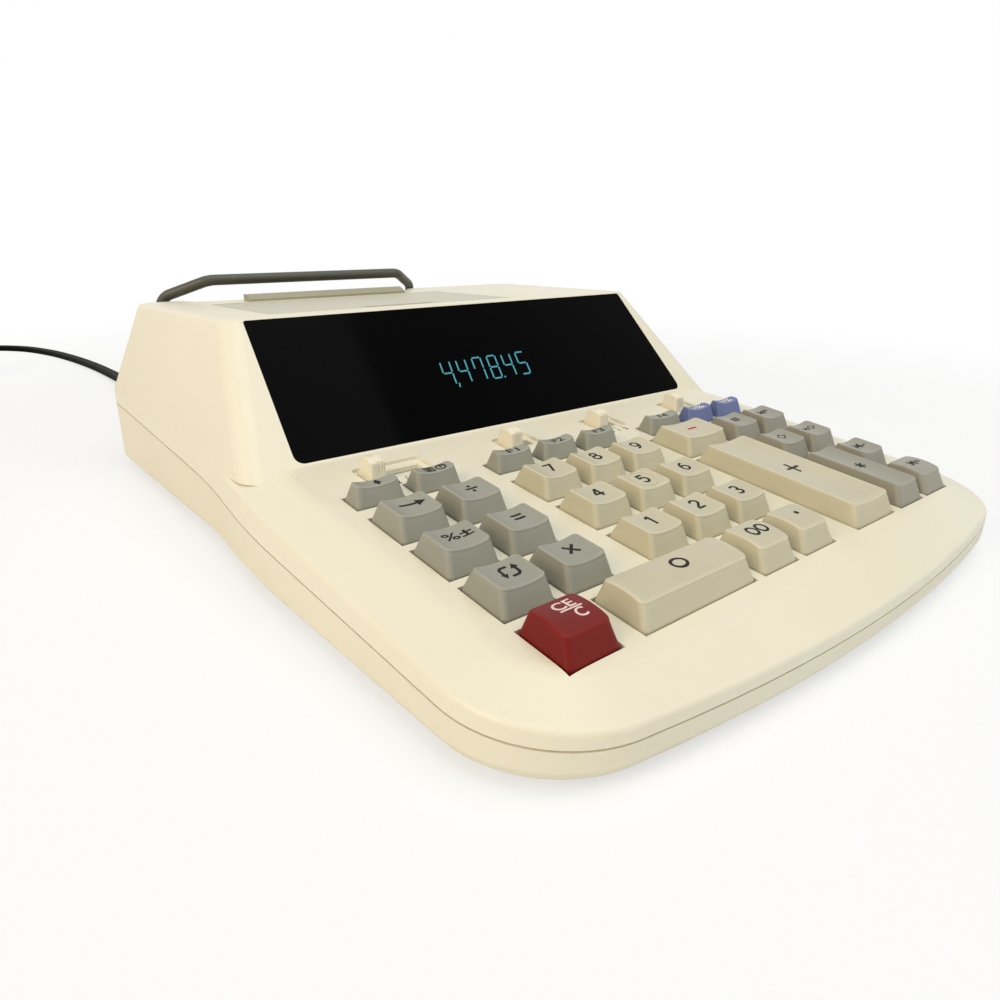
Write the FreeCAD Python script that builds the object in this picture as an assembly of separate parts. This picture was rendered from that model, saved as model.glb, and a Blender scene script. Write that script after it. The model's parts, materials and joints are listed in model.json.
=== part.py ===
"""Desk printing calculator: a wedge case with a sloped display, a keyboard deck and a paper printer.

Millimetres. X runs to the user's right, Y to the back and Z up. The origin is on the table, under
the middle of the machine's own length and width; the mains cord runs on behind it.
"""
import FreeCAD
import Part
import math
import os

Vector = FreeCAD.Vector

# Case in plan
case_half_width = 108.3
housing_half_width = 104.3
front_y = -138.0
rear_y = 130.0
front_bow = 11.0
front_corner_r = 30.0
rear_corner_r = 8.0
waist_start_y = -28.0
waist_end_y = 40.0

# Case in side view
foot_height = 3.0
wall = 2.4
seam_front_z = 9.9
seam_slope = 0.066
seam_groove_height = 0.5
seam_groove_depth = 1.0
keel_width = 1.6
keel_height = 2.6
deck_tilt = 6.155
home_key_x = -32.2
home_key_y = -52.0
home_key_z = 26.0
shoulder_width = 13.0
shoulder_drop = 3.6
shoulder_edge_r = 1.5
shoulder_crease_r = 12.0
panel_foot_y = -6.5
panel_angle = 44.7
panel_slant = 53.4
top_fall = 2.1
side_lean = 0.338
rear_lean = 0.301
housing_edge_r = 7.0
top_edge_r = 2.0

# Keys
key_pitch = 19.05
row_pitch = 19.12
short_row_v = 17.3
bottom_row_v = -57.6
key_width = 15.2
key_depth = 15.6
key_top_width = 13.1
key_top_depth = 10.8
key_height = 6.2
key_dish = 1.2
key_crown = 0.8
short_key_depth = 7.8
short_key_top_depth = 4.3
short_key_height = 5.6
key_corner_r = 1.0
key_top_corner_r = 2.0
key_top_back = 0.2
front_key_top_depth = 11.7
front_key_top_back = 1.05
key_wall = 1.3
key_roof = 1.8
key_gap = 0.4
key_travel = 3.0
key_flange = 0.7
key_flange_height = 0.7
key_flange_gap = 0.5
key_rest_gap = 0.2
stem_r = 2.5

# Columns of keys, from the key with the 7
blank_column = -29.1
wide_column_left = 58.6
wide_column_right = 81.0
memory_column_1 = 93.4
memory_column_2 = 111.7
short_wide_left = 63.4
zero_key_left = -33.4
plus_key_back = -9.4
plus_key_front = -65.4
minus_key_back = 10.6
minus_key_front = -7.1
star_key_back = -30.4

# Slide switches
switch_v = 31.5
switch_x = (-72.7, -20.4, 20.8, 65.0)
switch_travel = (15.0, 7.0, 7.0, 7.0)
knob_width = 5.5
knob_depth = 8.0
knob_height = 6.0
knob_neck = 3.0
knob_taper = 0.6
switch_recess_margin = 1.5
switch_recess_depth = 1.0
switch_gap = 0.4

# Boards and spring mat
board_half_width = 92.5
board_front_v = -68.0
board_back_v = 41.0
board_thick = 1.6
mat_thick = 1.0
mat_back_v = 22.0
mat_drop = 8.2
collar_r = 4.2
collar_bore_r = 3.0
collar_height = 1.3
switch_body_top = -5.0
board_pad_x = (60.0,)
board_pad_y = (-100.0, -30.0)
post_r = 3.0

# Display
window_bottom_half = 89.0
window_top_half = 86.0
window_rim = 0.7
window_thick = 2.0
window_corner_r = 3.0
window_top_corner_r = 1.0
window_gap = 0.15
window_ledge = 4.0
window_ledge_thick = 2.6
label_strip_v = 36.6
label_strip_height = 0.4
tube_x = -28.0
tube_length = 112.0
tube_height = 24.0
tube_thick = 6.0
tube_behind = 3.0
display_board_half = 91.0
display_post_x = 88.0
display_post_t = (10.0, 45.0)

# Printer opening, paper slot and arm
printer_x = -21.0
cover_half_width = 52.0
cover_front_y = 40.0
cover_back_y = 92.0
cover_gap = 0.35
cover_thick = 2.0
cover_barrel_r = 1.6
cover_pin_r = 1.0
cover_pin_length = 3.0
cover_grip = 30.0
tear_bar_length = 72.0
tear_bar_width = 6.0
tear_bar_height = 2.6
tear_teeth = 30
paper_slot_length = 62.0
paper_slot_width = 4.6
paper_slot_y = 100.8
inlet_half_width = 54.0
inlet_front_y = 108.0
inlet_floor_z = 52.0
inlet_corner_r = 12.0
guide_half_width = 58.0
guide_front_y = 94.0
guide_low_z = 46.0
guide_gap = 0.1
arm_bar_r = 2.1
arm_bar_half = 44.5
arm_bar_y = 114.0
arm_bar_z = 73.2
arm_knee_half = 60.0
arm_knee_y = 126.3
arm_knee_z = 66.0
arm_pivot_y = 133.4
arm_pivot_z = 36.0
arm_bend_r = 7.0
arm_pin_r = 1.6
arm_eye_r = 3.4
arm_side_gap = 0.3
lug_width = 5.0
lug_r = 4.6
bracket_stud_r = 1.8
pin_clearance = 0.08

# Screws and feet
screw_xy = ((99.0, -95.0), (84.0, 50.0), (90.0, 112.0))
screw_r = 1.45
screw_length = 10.0
screw_head_r = 3.0
screw_head_height = 2.2
screw_grip = 5.9
screw_post_r = 4.0
screw_boss_r = 5.0
foot_x = 85.0
foot_y = (-105.0, 105.0)
foot_r = 7.0
foot_bevel = 0.75

# Printer mechanism
frame_half = 50.0
frame_wall = 2.0
frame_front_y = 66.0
frame_back_y = 116.0
frame_step_y = 104.0
frame_low_z = 47.0
frame_high_z = 58.0
printer_floor_z = 10.0
hammer_y = 96.5
hammer_depth = 3.5
hammer_low_z = 36.0
hammer_high_z = 52.0
drum_y = 86.0
drum_z = 44.0
drum_r = 8.0
drum_half = 34.0
drum_columns = 17
type_height = 0.8
type_share = 0.7
shaft_r = 2.0
shaft_end = 3.0
roller_angle = -50.2
roller_r = 6.5
ink_angle = 123.7
ink_gap = 0.4
ink_r = 6.0
ink_pin_r = 1.5
motor_angle = -120.0
motor_r = 12.0
motor_length = 30.0
motor_shaft_r = 1.0
gear_module = 0.8
gear_addendum = 0.8
gear_dedendum = 1.2
gear_width = 4.0
gear_gap = 0.8
tooth_tip_share = 0.1
tooth_root_share = 0.27
drum_teeth = 40
roller_teeth = 18
pinion_teeth = 12

# Transformer
transformer_x = 70.0
transformer_y = 85.0
core_width = 46.0
core_depth = 28.0
core_height = 34.0
coil_proud = 5.0
bracket_thick = 1.6
bracket_foot = 5.0

# Mains cord: where it leaves the case, its route over the table and the coil of what is put away
cord_r = 3.5
cord_x = -75.0
cord_z = 16.0
gland_r = 4.5
gland_flange_r = 6.5
gland_flange = 2.0
gland_length = 24.0
gland_tip_wall = 0.5
cord_points = (
    (-75.0, 154.0, 16.0), (-75.0, 178.0, 16.0), (-70.0, 208.0, 13.0), (-65.0, 240.0, 8.6),
    (-62.0, 274.0, 5.0), (-61.0, 310.0, 3.55), (-63.0, 346.0, 3.55), (-67.5, 382.0, 3.55),
    (-75.0, 417.0, 3.55), (-88.5, 448.0, 3.55), (-114.0, 465.0, 3.55), (-147.5, 470.0, 3.55),
    (-181.0, 470.0, 3.55))
bend_share = 0.45
coil_outer_r = 48.6
coil_pitch = 7.6
coil_half_turns = 5
cord_end = 7.0

# Plug: distance along it, half its width, half its height and its corner
plug_sections = (
    (0.0, 4.5, 4.5, 4.0), (20.0, 5.5, 5.5, 4.0), (26.0, 12.0, 10.5, 4.0), (46.0, 12.5, 11.0, 4.0))
blade_length = 17.0
blade_width = 6.3
blade_thick = 1.5
blade_spacing = 12.7


# Derived frames: the keyboard deck, the display face and the top of the housing
deck_slope = math.tan(math.radians(deck_tilt))
deck_frame = FreeCAD.Placement(
    Vector(0, home_key_y, home_key_z), FreeCAD.Rotation(Vector(1, 0, 0), deck_tilt))


def deck_height(y):
    """Height of the keyboard deck above the table at y."""
    return home_key_z + (y - home_key_y) * deck_slope


panel_foot_z = deck_height(panel_foot_y)
panel_frame = FreeCAD.Placement(
    Vector(0, panel_foot_y, panel_foot_z), FreeCAD.Rotation(Vector(1, 0, 0), panel_angle))
top_edge_y = panel_foot_y + panel_slant * math.cos(math.radians(panel_angle))
top_edge_z = panel_foot_z + panel_slant * math.sin(math.radians(panel_angle))
top_frame = FreeCAD.Placement(
    Vector(0, top_edge_y, top_edge_z), FreeCAD.Rotation(Vector(1, 0, 0), -top_fall))
seam_frame = FreeCAD.Placement(
    Vector(0, front_y, seam_front_z),
    FreeCAD.Rotation(Vector(1, 0, 0), math.degrees(math.atan(seam_slope))))
crease_z = deck_height(waist_end_y) - shoulder_drop / math.cos(math.radians(deck_tilt))

floor_z = foot_height + wall
board_low = -mat_drop - mat_thick - board_thick

# Space that is larger than the machine each way, for cutting with a plane
beyond = 4 * case_half_width
above_all = 120.0
# How far a cutting shape runs past the face that it opens
overrun = 1.0


def top_height(y):
    """Height of the housing's top above the table at y."""
    return top_edge_z - (y - top_edge_y) * math.tan(math.radians(top_fall))


def place(shape, frame):
    """A copy of shape, carried from a frame's own axes to the machine's."""
    moved = shape.copy()
    moved.Placement = frame.multiply(moved.Placement)
    return moved


def block(x0, x1, y0, y1, z0, z1):
    return Part.makeBox(x1 - x0, y1 - y0, z1 - z0, Vector(x0, y0, z0))


def above(frame, offset):
    """Everything above the frame's XY plane, raised by offset."""
    return place(block(-beyond, beyond, -beyond, beyond, offset, beyond), frame)


def below(frame, offset):
    """Everything below the frame's XY plane, raised by offset."""
    return place(block(-beyond, beyond, -beyond, beyond, -beyond, offset), frame)


def rounded_rectangle(x0, x1, y0, y1, z, r):
    """Closed wire of four sides and four quarter turns, in the plane at z."""
    turn = r * (1 - math.sqrt(0.5))
    sides = [
        ((x0 + r, y0), (x1 - r, y0)), ((x1, y0 + r), (x1, y1 - r)),
        ((x1 - r, y1), (x0 + r, y1)), ((x0, y1 - r), (x0, y0 + r))]
    middles = [(x1 - turn, y0 + turn), (x1 - turn, y1 - turn), (x0 + turn, y1 - turn), (x0 + turn, y0 + turn)]
    edges = []
    for number, (start, end) in enumerate(sides):
        following = sides[(number + 1) % 4][0]
        edges.append(Part.LineSegment(Vector(*start, z), Vector(*end, z)).toShape())
        edges.append(Part.Arc(
            Vector(*end, z), Vector(*middles[number], z), Vector(*following, z)).toShape())
    return Part.Wire(edges)


def rounded_block(x0, x1, y0, y1, z0, z1, r):
    return Part.Face(rounded_rectangle(x0, x1, y0, y1, z0, r)).extrude(Vector(0, 0, z1 - z0))


def rod(r, start, end):
    """Round bar between two points."""
    run = Vector(*end) - Vector(*start)
    return Part.makeCylinder(r, run.Length, Vector(*start), run)


def plan_edges(inset, side):
    """Edges of one side of the case's plan, from the middle of the front to the middle of the back."""
    wide = case_half_width - inset
    narrow = housing_half_width - inset
    front, rear = front_y + inset, rear_y - inset
    corner, back_corner = front_corner_r - inset, max(rear_corner_r - inset, rear_corner_r / 2)
    bow_r = (case_half_width ** 2 + front_bow ** 2) / (2 * front_bow) - inset
    reach = math.sqrt((bow_r - corner) ** 2 - (wide - corner) ** 2)
    corner_y = front + bow_r - reach
    to_bow = bow_r / (bow_r - corner)
    bow_end = ((wide - corner) * to_bow, front + bow_r - reach * to_bow)
    half_way = math.asin(bow_end[0] / bow_r) / 2
    bow_middle = (bow_r * math.sin(half_way), front + bow_r * (1 - math.cos(half_way)))
    turn = math.atan2(-reach, wide - corner) / 2
    corner_middle = (wide - corner + corner * math.cos(turn), corner_y + corner * math.sin(turn))
    run, step = waist_end_y - waist_start_y, wide - narrow
    swing = (run ** 2 + step ** 2) / (4 * step)
    lean = math.asin(run / 2 / swing) / 2
    out, along = swing * (1 - math.cos(lean)), swing * math.sin(lean)
    middle = ((wide + narrow) / 2, (waist_start_y + waist_end_y) / 2)
    tuck = back_corner * (1 - math.sqrt(0.5))

    def point(p):
        return Vector(side * p[0], p[1], 0)

    def line(a, b):
        return Part.LineSegment(point(a), point(b)).toShape()

    def arc(a, b, c):
        return Part.Arc(point(a), point(b), point(c)).toShape()

    return [
        arc((0, front), bow_middle, bow_end),
        arc(bow_end, corner_middle, (wide, corner_y)),
        line((wide, corner_y), (wide, waist_start_y)),
        arc((wide, waist_start_y), (wide - out, waist_start_y + along), middle),
        arc(middle, (narrow + out, waist_end_y - along), (narrow, waist_end_y)),
        line((narrow, waist_end_y), (narrow, rear - back_corner)),
        arc((narrow, rear - back_corner), (narrow - tuck, rear - tuck), (narrow - back_corner, rear)),
        line((narrow - back_corner, rear), (0, rear))]


def plan_ring(inset, z):
    """The case's plan, drawn in by inset, as a closed wire at height z."""
    ring = Part.Wire(Part.__sortEdges__(plan_edges(inset, 1) + plan_edges(inset, -1)))
    ring.translate(Vector(0, 0, z))
    return ring


def plan_prism(inset, z0, z1):
    """The case's plan, drawn in by inset, as an upright block."""
    return Part.Face(plan_ring(inset, z0)).extrude(Vector(0, 0, z1 - z0))


def deck_slice(solid, n):
    """Outline of an upright solid where the plane at n above the deck cuts it."""
    normal = deck_frame.Rotation.multVec(Vector(0, 0, 1))
    return solid.slice(normal, normal.dot(deck_frame.Base) + n)[0]


def shoulder_sizes(inset):
    """Width, and drop below the deck, of the shoulder band when every face moves in by inset."""
    band = math.hypot(shoulder_width, shoulder_drop)
    width = shoulder_width - inset + inset * (band - shoulder_width) / shoulder_drop
    low = shoulder_drop + inset * (band - shoulder_drop) / shoulder_width
    return width, low


def keyboard_form(inset, rounded):
    """Wedge under the keyboard: upright walls, a sloping shoulder band and the flat deck."""
    width, low = shoulder_sizes(inset)
    walls = plan_prism(inset, 0, above_all)
    crown = plan_prism(inset + width, 0, above_all)
    shoulder = Part.makeLoft([deck_slice(walls, -low), deck_slice(crown, -inset)], True, True)
    wedge = walls.cut(above(deck_frame, -low)).fuse(shoulder).removeSplitter()
    if rounded:
        for r, height in ((shoulder_crease_r, -inset), (shoulder_edge_r, -low)):
            wedge = wedge.makeFillet(r, edges_at(wedge, deck_frame, height))
    return wedge


def edges_at(solid, frame, height):
    """Edges that lie wholly in the frame's plane at height."""
    back = frame.inverse()
    near = 0.01
    found = []
    for edge in solid.Edges:
        ends = [edge.valueAt(edge.FirstParameter), edge.valueAt(edge.LastParameter),
                edge.valueAt((edge.FirstParameter + edge.LastParameter) / 2)]
        if all(abs(back.multVec(p).z - height) < near for p in ends):
            found.append(edge)
    return found


def housing_form(inset, rounded):
    """Block behind the keyboard: leaning sides and back, the display slope and the falling top."""
    rings = []
    for z in (crease_z - shoulder_drop, top_edge_z + top_edge_r):
        rise = z - crease_z
        half = housing_half_width - inset - side_lean * rise
        back = rear_y - inset - rear_lean * rise
        r = rear_corner_r - inset
        rings.append(rounded_rectangle(-half, half, waist_start_y, back, z, r))
    form = Part.makeLoft(rings, True, True)
    form = form.cut(above(panel_frame, -inset)).cut(above(top_frame, -inset))
    form = form.common(plan_prism(inset, 0, above_all))
    if rounded:
        slants = [e for e in edges_at(form, panel_frame, -inset)
                  if abs(e.CenterOfMass.x) > window_bottom_half and e.Length > panel_slant / 2]
        form = form.makeFillet(housing_edge_r - inset, slants)
        if top_edge_r > inset:
            rim = [e for e in edges_at(form, top_frame, -inset) if e.CenterOfMass.y > top_edge_y + wall]
            form = form.makeFillet(top_edge_r - inset, rim)
    return form


def case_form(inset, rounded):
    """The whole machine's outer form above the table, with every face moved in by inset."""
    wedge = keyboard_form(inset, rounded)
    behind = block(-beyond, beyond, waist_end_y, beyond, crease_z, beyond)
    return wedge.cut(behind).fuse(housing_form(inset, True)).removeSplitter()


def key_layout():
    """Every key by name: its left, right, front and back edges in the deck's plane, and its kind."""
    numbers = (0, key_pitch, 2 * key_pitch)
    columns = (blank_column - key_pitch, blank_column) + numbers + (memory_column_1, memory_column_2)
    rows = (
        (short_row_v, "short", ("feed", "clock", "cost", "sell", "margin", "tax_minus", "tax_plus")),
        (0, "dish", ("shift", "divide", "7", "8", "9", "number", "memory_total")),
        (-row_pitch, "dish", ("percent", "equals", "4", "5", "6", "subtotal", "memory_subtotal")),
        (-2 * row_pitch, "dish", ("exchange", "multiply", "1", "2", "3", None, "memory_minus")),
        (bottom_row_v, "crown", ("clear", None, None, "00", "point", None, "memory_plus")))
    layout = {}
    for v, kind, names in rows:
        depth = short_key_depth if kind == "short" else key_depth
        for x, name in zip(columns, names):
            if name:
                layout[name] = (x - key_width / 2, x + key_width / 2, v - depth / 2, v + depth / 2, kind)
    bottom_front, bottom_back = bottom_row_v - key_depth / 2, bottom_row_v + key_depth / 2
    short_front, short_back = short_row_v - short_key_depth / 2, short_row_v + short_key_depth / 2
    layout["0"] = (zero_key_left, key_width / 2, bottom_front, bottom_back, "crown")
    layout["rate"] = (short_wide_left, wide_column_right, short_front, short_back, "short")
    layout["minus"] = (wide_column_left, wide_column_right, minus_key_front, minus_key_back, "dish")
    layout["plus"] = (wide_column_left, wide_column_right, plus_key_front, plus_key_back, "dish")
    layout["total"] = (memory_column_1 - key_width / 2, memory_column_1 + key_width / 2,
                       plus_key_front, star_key_back, "dish")
    return {name: (home_key_x + x0, home_key_x + x1, v0, v1, kind)
            for name, (x0, x1, v0, v1, kind) in layout.items()}


def stem_centres(x0, x1, v0, v1):
    """Where a key's stems stand: one under a plain key, two under a long one."""
    x, v = (x0 + x1) / 2, (v0 + v1) / 2
    long_key = 2 * key_width
    if x1 - x0 > long_key:
        return [(x - (x1 - x0) / 4, v), (x + (x1 - x0) / 4, v)]
    if v1 - v0 > long_key:
        return [(x, v - (v1 - v0) / 4), (x, v + (v1 - v0) / 4)]
    return [(x, v)]


def key_cap(x0, x1, v0, v1, kind):
    """One key in the deck's axes: a hollow tapered cap, a flange under the deck and its stems."""
    short = kind == "short"
    front_row = kind == "crown"
    height = short_key_height if short else key_height
    top_depth = short_key_top_depth if short else front_key_top_depth if front_row else key_top_depth
    back = front_key_top_back if front_row else key_top_back
    side = (key_width - key_top_width) / 2
    face = ((short_key_depth if short else key_depth) - top_depth) / 2
    cap = Part.makeLoft([
        rounded_rectangle(x0, x1, v0, v1, 0, key_corner_r),
        rounded_rectangle(x0 + side, x1 - side, v0 + face + back, v1 - face + back,
                          height, key_top_corner_r)], True, True)
    x, v = (x0 + x1) / 2, (v0 + v1) / 2
    if front_row:
        half = (v1 - v0) / 2 - face
        r = (half ** 2 + key_crown ** 2) / (2 * key_crown)
        cap = cap.common(rod(r, (x0, v + back, height - r), (x1, v + back, height - r)))
    else:
        half = (x1 - x0) / 2 - side
        r = (half ** 2 + key_dish ** 2) / (2 * key_dish)
        cap = cap.cut(rod(r, (x, v0, height - key_dish + r), (x, v1, height - key_dish + r)))
    flange_top = -wall - key_flange_gap
    low = flange_top - key_flange_height
    cap = cap.fuse([
        rounded_block(x0, x1, v0, v1, low, 0, key_corner_r),
        rounded_block(x0 - key_flange, x1 + key_flange, v0 - key_flange, v1 + key_flange,
                      low, flange_top, key_corner_r)])
    roof = height - key_dish - key_roof
    rise = roof / height
    hollow = Part.makeLoft([
        rounded_rectangle(x0 + key_wall, x1 - key_wall, v0 + key_wall, v1 - key_wall, low, key_corner_r),
        rounded_rectangle(x0 + key_wall + side * rise, x1 - key_wall - side * rise,
                          v0 + key_wall + (face + back) * rise, v1 - key_wall - (face - back) * rise,
                          roof, key_corner_r)], True, True)
    cap = cap.cut(hollow)
    stem_low = -mat_drop - mat_thick + key_travel + key_rest_gap
    stems = [rod(stem_r, (sx, sv, stem_low), (sx, sv, roof + key_roof / 2))
             for sx, sv in stem_centres(x0, x1, v0, v1)]
    return place(cap.fuse(stems).removeSplitter(), deck_frame)


def switch_sizes(number):
    """Middle of a slide switch's knob at rest, and its travel to the right."""
    return switch_x[number], switch_travel[number]


def switch_cuts(number):
    """Shallow recess and through slot that one knob runs in, in the deck's axes."""
    x, travel = switch_sizes(number)
    reach = knob_width / 2 + switch_recess_margin
    deep = knob_depth / 2 + switch_recess_margin
    recess = rounded_block(x - reach, x + travel + reach, switch_v - deep, switch_v + deep,
                           -switch_recess_depth, knob_height, switch_recess_margin)
    half = knob_neck / 2 + switch_gap
    slot = block(x - half, x + travel + half, switch_v - half, switch_v + half, -2 * wall, knob_height)
    return [recess, slot]


def switch_knob(number):
    """Slide knob: a tapered grip on the deck, a neck through the slot and a foot under the deck."""
    x, _ = switch_sizes(number)
    half, deep, neck = knob_width / 2, knob_depth / 2, knob_neck / 2
    low = -switch_recess_depth + key_rest_gap
    grip = Part.makeLoft([
        rounded_rectangle(x - half, x + half, switch_v - deep, switch_v + deep, low, key_corner_r),
        rounded_rectangle(x - half + knob_taper, x + half - knob_taper, switch_v - deep + knob_taper,
                          switch_v + deep - knob_taper, knob_height, key_corner_r)], True, True)
    foot_top = -wall - key_rest_gap
    foot_low = foot_top - key_flange_height
    knob = grip.fuse([
        block(x - neck, x + neck, switch_v - neck, switch_v + neck, foot_low, 0),
        block(x - half, x + half, switch_v - half, switch_v + half, foot_low, foot_top)])
    return place(knob.removeSplitter(), deck_frame)


def window_block(edge, n0, n1):
    """The display window's outline, drawn in by edge, between two depths in the display's axes."""
    low, high = window_rim + edge, panel_slant - window_rim - edge
    corners = [(-window_bottom_half + edge, low), (window_bottom_half - edge, low),
               (window_top_half - edge, high), (-window_top_half + edge, high)]
    wire = Part.makePolygon([Vector(x, t, n0) for x, t in corners + corners[:1]])
    slab = Part.Face(wire).extrude(Vector(0, 0, n1 - n0))
    for r, lowest in ((window_corner_r, True), (window_top_corner_r, False)):
        slab = slab.makeFillet(r, [
            e for e in slab.Edges if e.BoundBox.ZLength > (n1 - n0) / 2
            and e.BoundBox.YLength < window_gap and (e.CenterOfMass.y < panel_slant / 2) == lowest
            and abs(e.CenterOfMass.x) > window_top_half - edge - overrun / 2])
    return place(slab, panel_frame)


def display_window():
    return window_block(window_gap, -window_thick, 0)


def display_posts():
    """Four posts behind the display face, from its ledge to the display's board."""
    back = -window_thick - window_ledge_thick
    board = -window_thick - tube_behind - tube_thick
    places = [(side * display_post_x, t) for side in (-1, 1) for t in display_post_t]
    return [place(rod(post_r, (x, t, back), (x, t, board)), panel_frame) for x, t in places]


def display_tube():
    """Flat glass tube with its leads on a board that stands behind the display face."""
    face = -window_thick - tube_behind
    middle = (window_rim + panel_slant) / 2
    glass = rounded_block(tube_x - tube_length / 2, tube_x + tube_length / 2, middle - tube_height / 2,
                          middle + tube_height / 2, face - tube_thick, face, key_corner_r)
    board = block(-display_board_half, display_board_half, display_post_t[0] - post_r,
                  display_post_t[1] + post_r, face - tube_thick - board_thick, face - tube_thick)
    nib = rod(key_corner_r, (tube_x + tube_length / 2 - key_corner_r, middle, face - tube_thick / 2),
              (tube_x + tube_length / 2 + tube_behind, middle, face - tube_thick / 2))
    return Part.makeCompound([place(s, panel_frame) for s in (glass.fuse(nib), board)])


def seam_height(y):
    return seam_front_z + (y - front_y) * seam_slope


def screw_seat(y):
    """Height where a case screw's head bears, so that every screw grips alike."""
    return seam_height(y) - screw_grip


def inlet_hollow(clear):
    """Recess behind the paper slot, open to the back, drawn in by clear."""
    return rounded_block(printer_x - inlet_half_width + clear, printer_x + inlet_half_width - clear,
                         inlet_front_y + clear, beyond, inlet_floor_z + clear, above_all, inlet_corner_r)


def top_block(x0, x1, y0, y1, n0, n1):
    """Block in the axes of the housing's top: y as on the machine, n out of the surface."""
    return place(block(x0, x1, y0 - top_edge_y, y1 - top_edge_y, n0, n1), top_frame)


def hinge_axis():
    """Cover hinge: its y and its height, just under the housing's top."""
    y = cover_back_y - cover_barrel_r
    return y, top_height(y) - cover_barrel_r


def cover_socket(side):
    """Boss under the case's top beside the cover, and the bore for the cover's hinge pin."""
    y, z = hinge_axis()
    edge = printer_x + side * (cover_half_width + cover_gap)
    boss = block(min(edge, edge + side * cover_pin_length), max(edge, edge + side * cover_pin_length),
                 y - 2 * cover_barrel_r, y + 2 * cover_barrel_r, z - 2 * cover_barrel_r, z)
    bore = rod(cover_pin_r + pin_clearance, (edge - side * cover_pin_length, y, z),
               (edge + side * (cover_pin_length + pin_clearance), y, z))
    return boss, bore


def bracket_stud(side, clear):
    """Stud that holds an arm bracket in the case's back wall, or the hole for it when grown by clear."""
    x = printer_x + side * (arm_knee_half - arm_bar_r - arm_side_gap - lug_width / 2)
    return rod(bracket_stud_r + clear, (x, rear_y - 3 * wall - clear, arm_pivot_z),
               (x, arm_pivot_y - arm_pin_r - 2 * bracket_stud_r * guide_gap, arm_pivot_z))


def arm_bracket(side):
    """Ear behind the case that carries one foot of the paper arm, with a stud through the back wall."""
    x = printer_x + side * (arm_knee_half - arm_bar_r - arm_side_gap)
    inner = x - side * lug_width
    ear = rod(lug_r, (x, arm_pivot_y, arm_pivot_z), (inner, arm_pivot_y, arm_pivot_z))
    web = block(min(x, inner), max(x, inner), rear_y - wall, arm_pivot_y,
                arm_pivot_z - lug_r, arm_pivot_z + lug_r)
    bore = rod(arm_pin_r + pin_clearance, (x + side * overrun, arm_pivot_y, arm_pivot_z),
               (inner - side * overrun, arm_pivot_y, arm_pivot_z))
    return ear.fuse(web).cut([case_form(0, True), bore]).fuse(bracket_stud(side, 0)).removeSplitter()


def label_strip():
    """Low step under the display, along its whole width, that carries the switches' scales."""
    strip = block(-window_bottom_half, window_bottom_half, label_strip_v, board_back_v + window_ledge,
                  -wall / 2, label_strip_height)
    return place(strip, deck_frame).cut(above(panel_frame, 0))


def guide_space(clear):
    """Room in the housing's top for the paper guide, drawn in by clear."""
    return block(printer_x - guide_half_width + clear, printer_x + guide_half_width - clear,
                 guide_front_y + clear, beyond, guide_low_z + clear, above_all)


def housing_shell():
    """Deck, display face and housing as one shell, with every opening and post, before the guide is cut out."""
    outer = case_form(0, True)
    hollow = case_form(wall, False)
    shell = outer.cut(hollow)
    half = window_bottom_half + window_ledge
    ledge = place(block(-half, half, 0, panel_slant, -window_thick - window_ledge_thick, -wall / 2),
                  panel_frame)
    tray = inlet_hollow(-wall).common(block(-beyond, beyond, 0, beyond, 0, above_all))
    posts = [rod(screw_post_r, (x, y, 0), (x, y, above_all)) for x, y in screw_places()]
    bosses, sockets = zip(*[cover_socket(side) for side in (-1, 1)])
    inside = case_form(wall / 2, False)
    shell = shell.fuse([s.common(inside) for s in [ledge, tray] + posts + list(bosses)])
    shell = shell.fuse(display_posts() + [label_strip()])
    cuts = [inlet_hollow(0), window_block(0, -window_thick, window_thick),
            window_block(window_ledge, -half, window_thick),
            below(seam_frame, 0)]
    cuts += list(sockets) + [bracket_stud(side, pin_clearance) for side in (-1, 1)]
    cuts += [rod(screw_r + pin_clearance, (x, y, 0), (x, y, screw_seat(y) + screw_length + overrun))
             for x, y in screw_places()]
    cuts += [place(block(x0 - key_gap, x1 + key_gap, v0 - key_gap, v1 + key_gap, -2 * wall, above_all),
                   deck_frame) for x0, x1, v0, v1, _ in key_layout().values()]
    for number in range(len(switch_x)):
        cuts += [place(cut, deck_frame) for cut in switch_cuts(number)]
    cuts += [
        top_block(printer_x - cover_half_width - cover_gap, printer_x + cover_half_width + cover_gap,
                  cover_front_y - cover_gap, cover_back_y + cover_gap, -2 * wall, wall),
        top_block(printer_x - paper_slot_length / 2, printer_x + paper_slot_length / 2,
                  paper_slot_y, paper_slot_y + paper_slot_width, -2 * wall, wall),
        block(printer_x - paper_slot_length / 2, printer_x + paper_slot_length / 2,
              inlet_front_y, inlet_front_y + paper_slot_width, inlet_floor_z - 2 * wall, above_all)]
    return shell.cut(cuts).removeSplitter()


def upper_case(shell):
    """The shell without the paper guide, which drops into its top from behind."""
    return shell.cut(guide_space(0))


def paper_guide(shell):
    """Insert with the paper slot and the inlet tray, and the two arm brackets on the back wall."""
    return Part.makeCompound([shell.common(guide_space(guide_gap))] + [arm_bracket(side) for side in (-1, 1)])


def screw_places():
    return [(side * x, y) for x, y in screw_xy for side in (-1, 1)]


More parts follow.
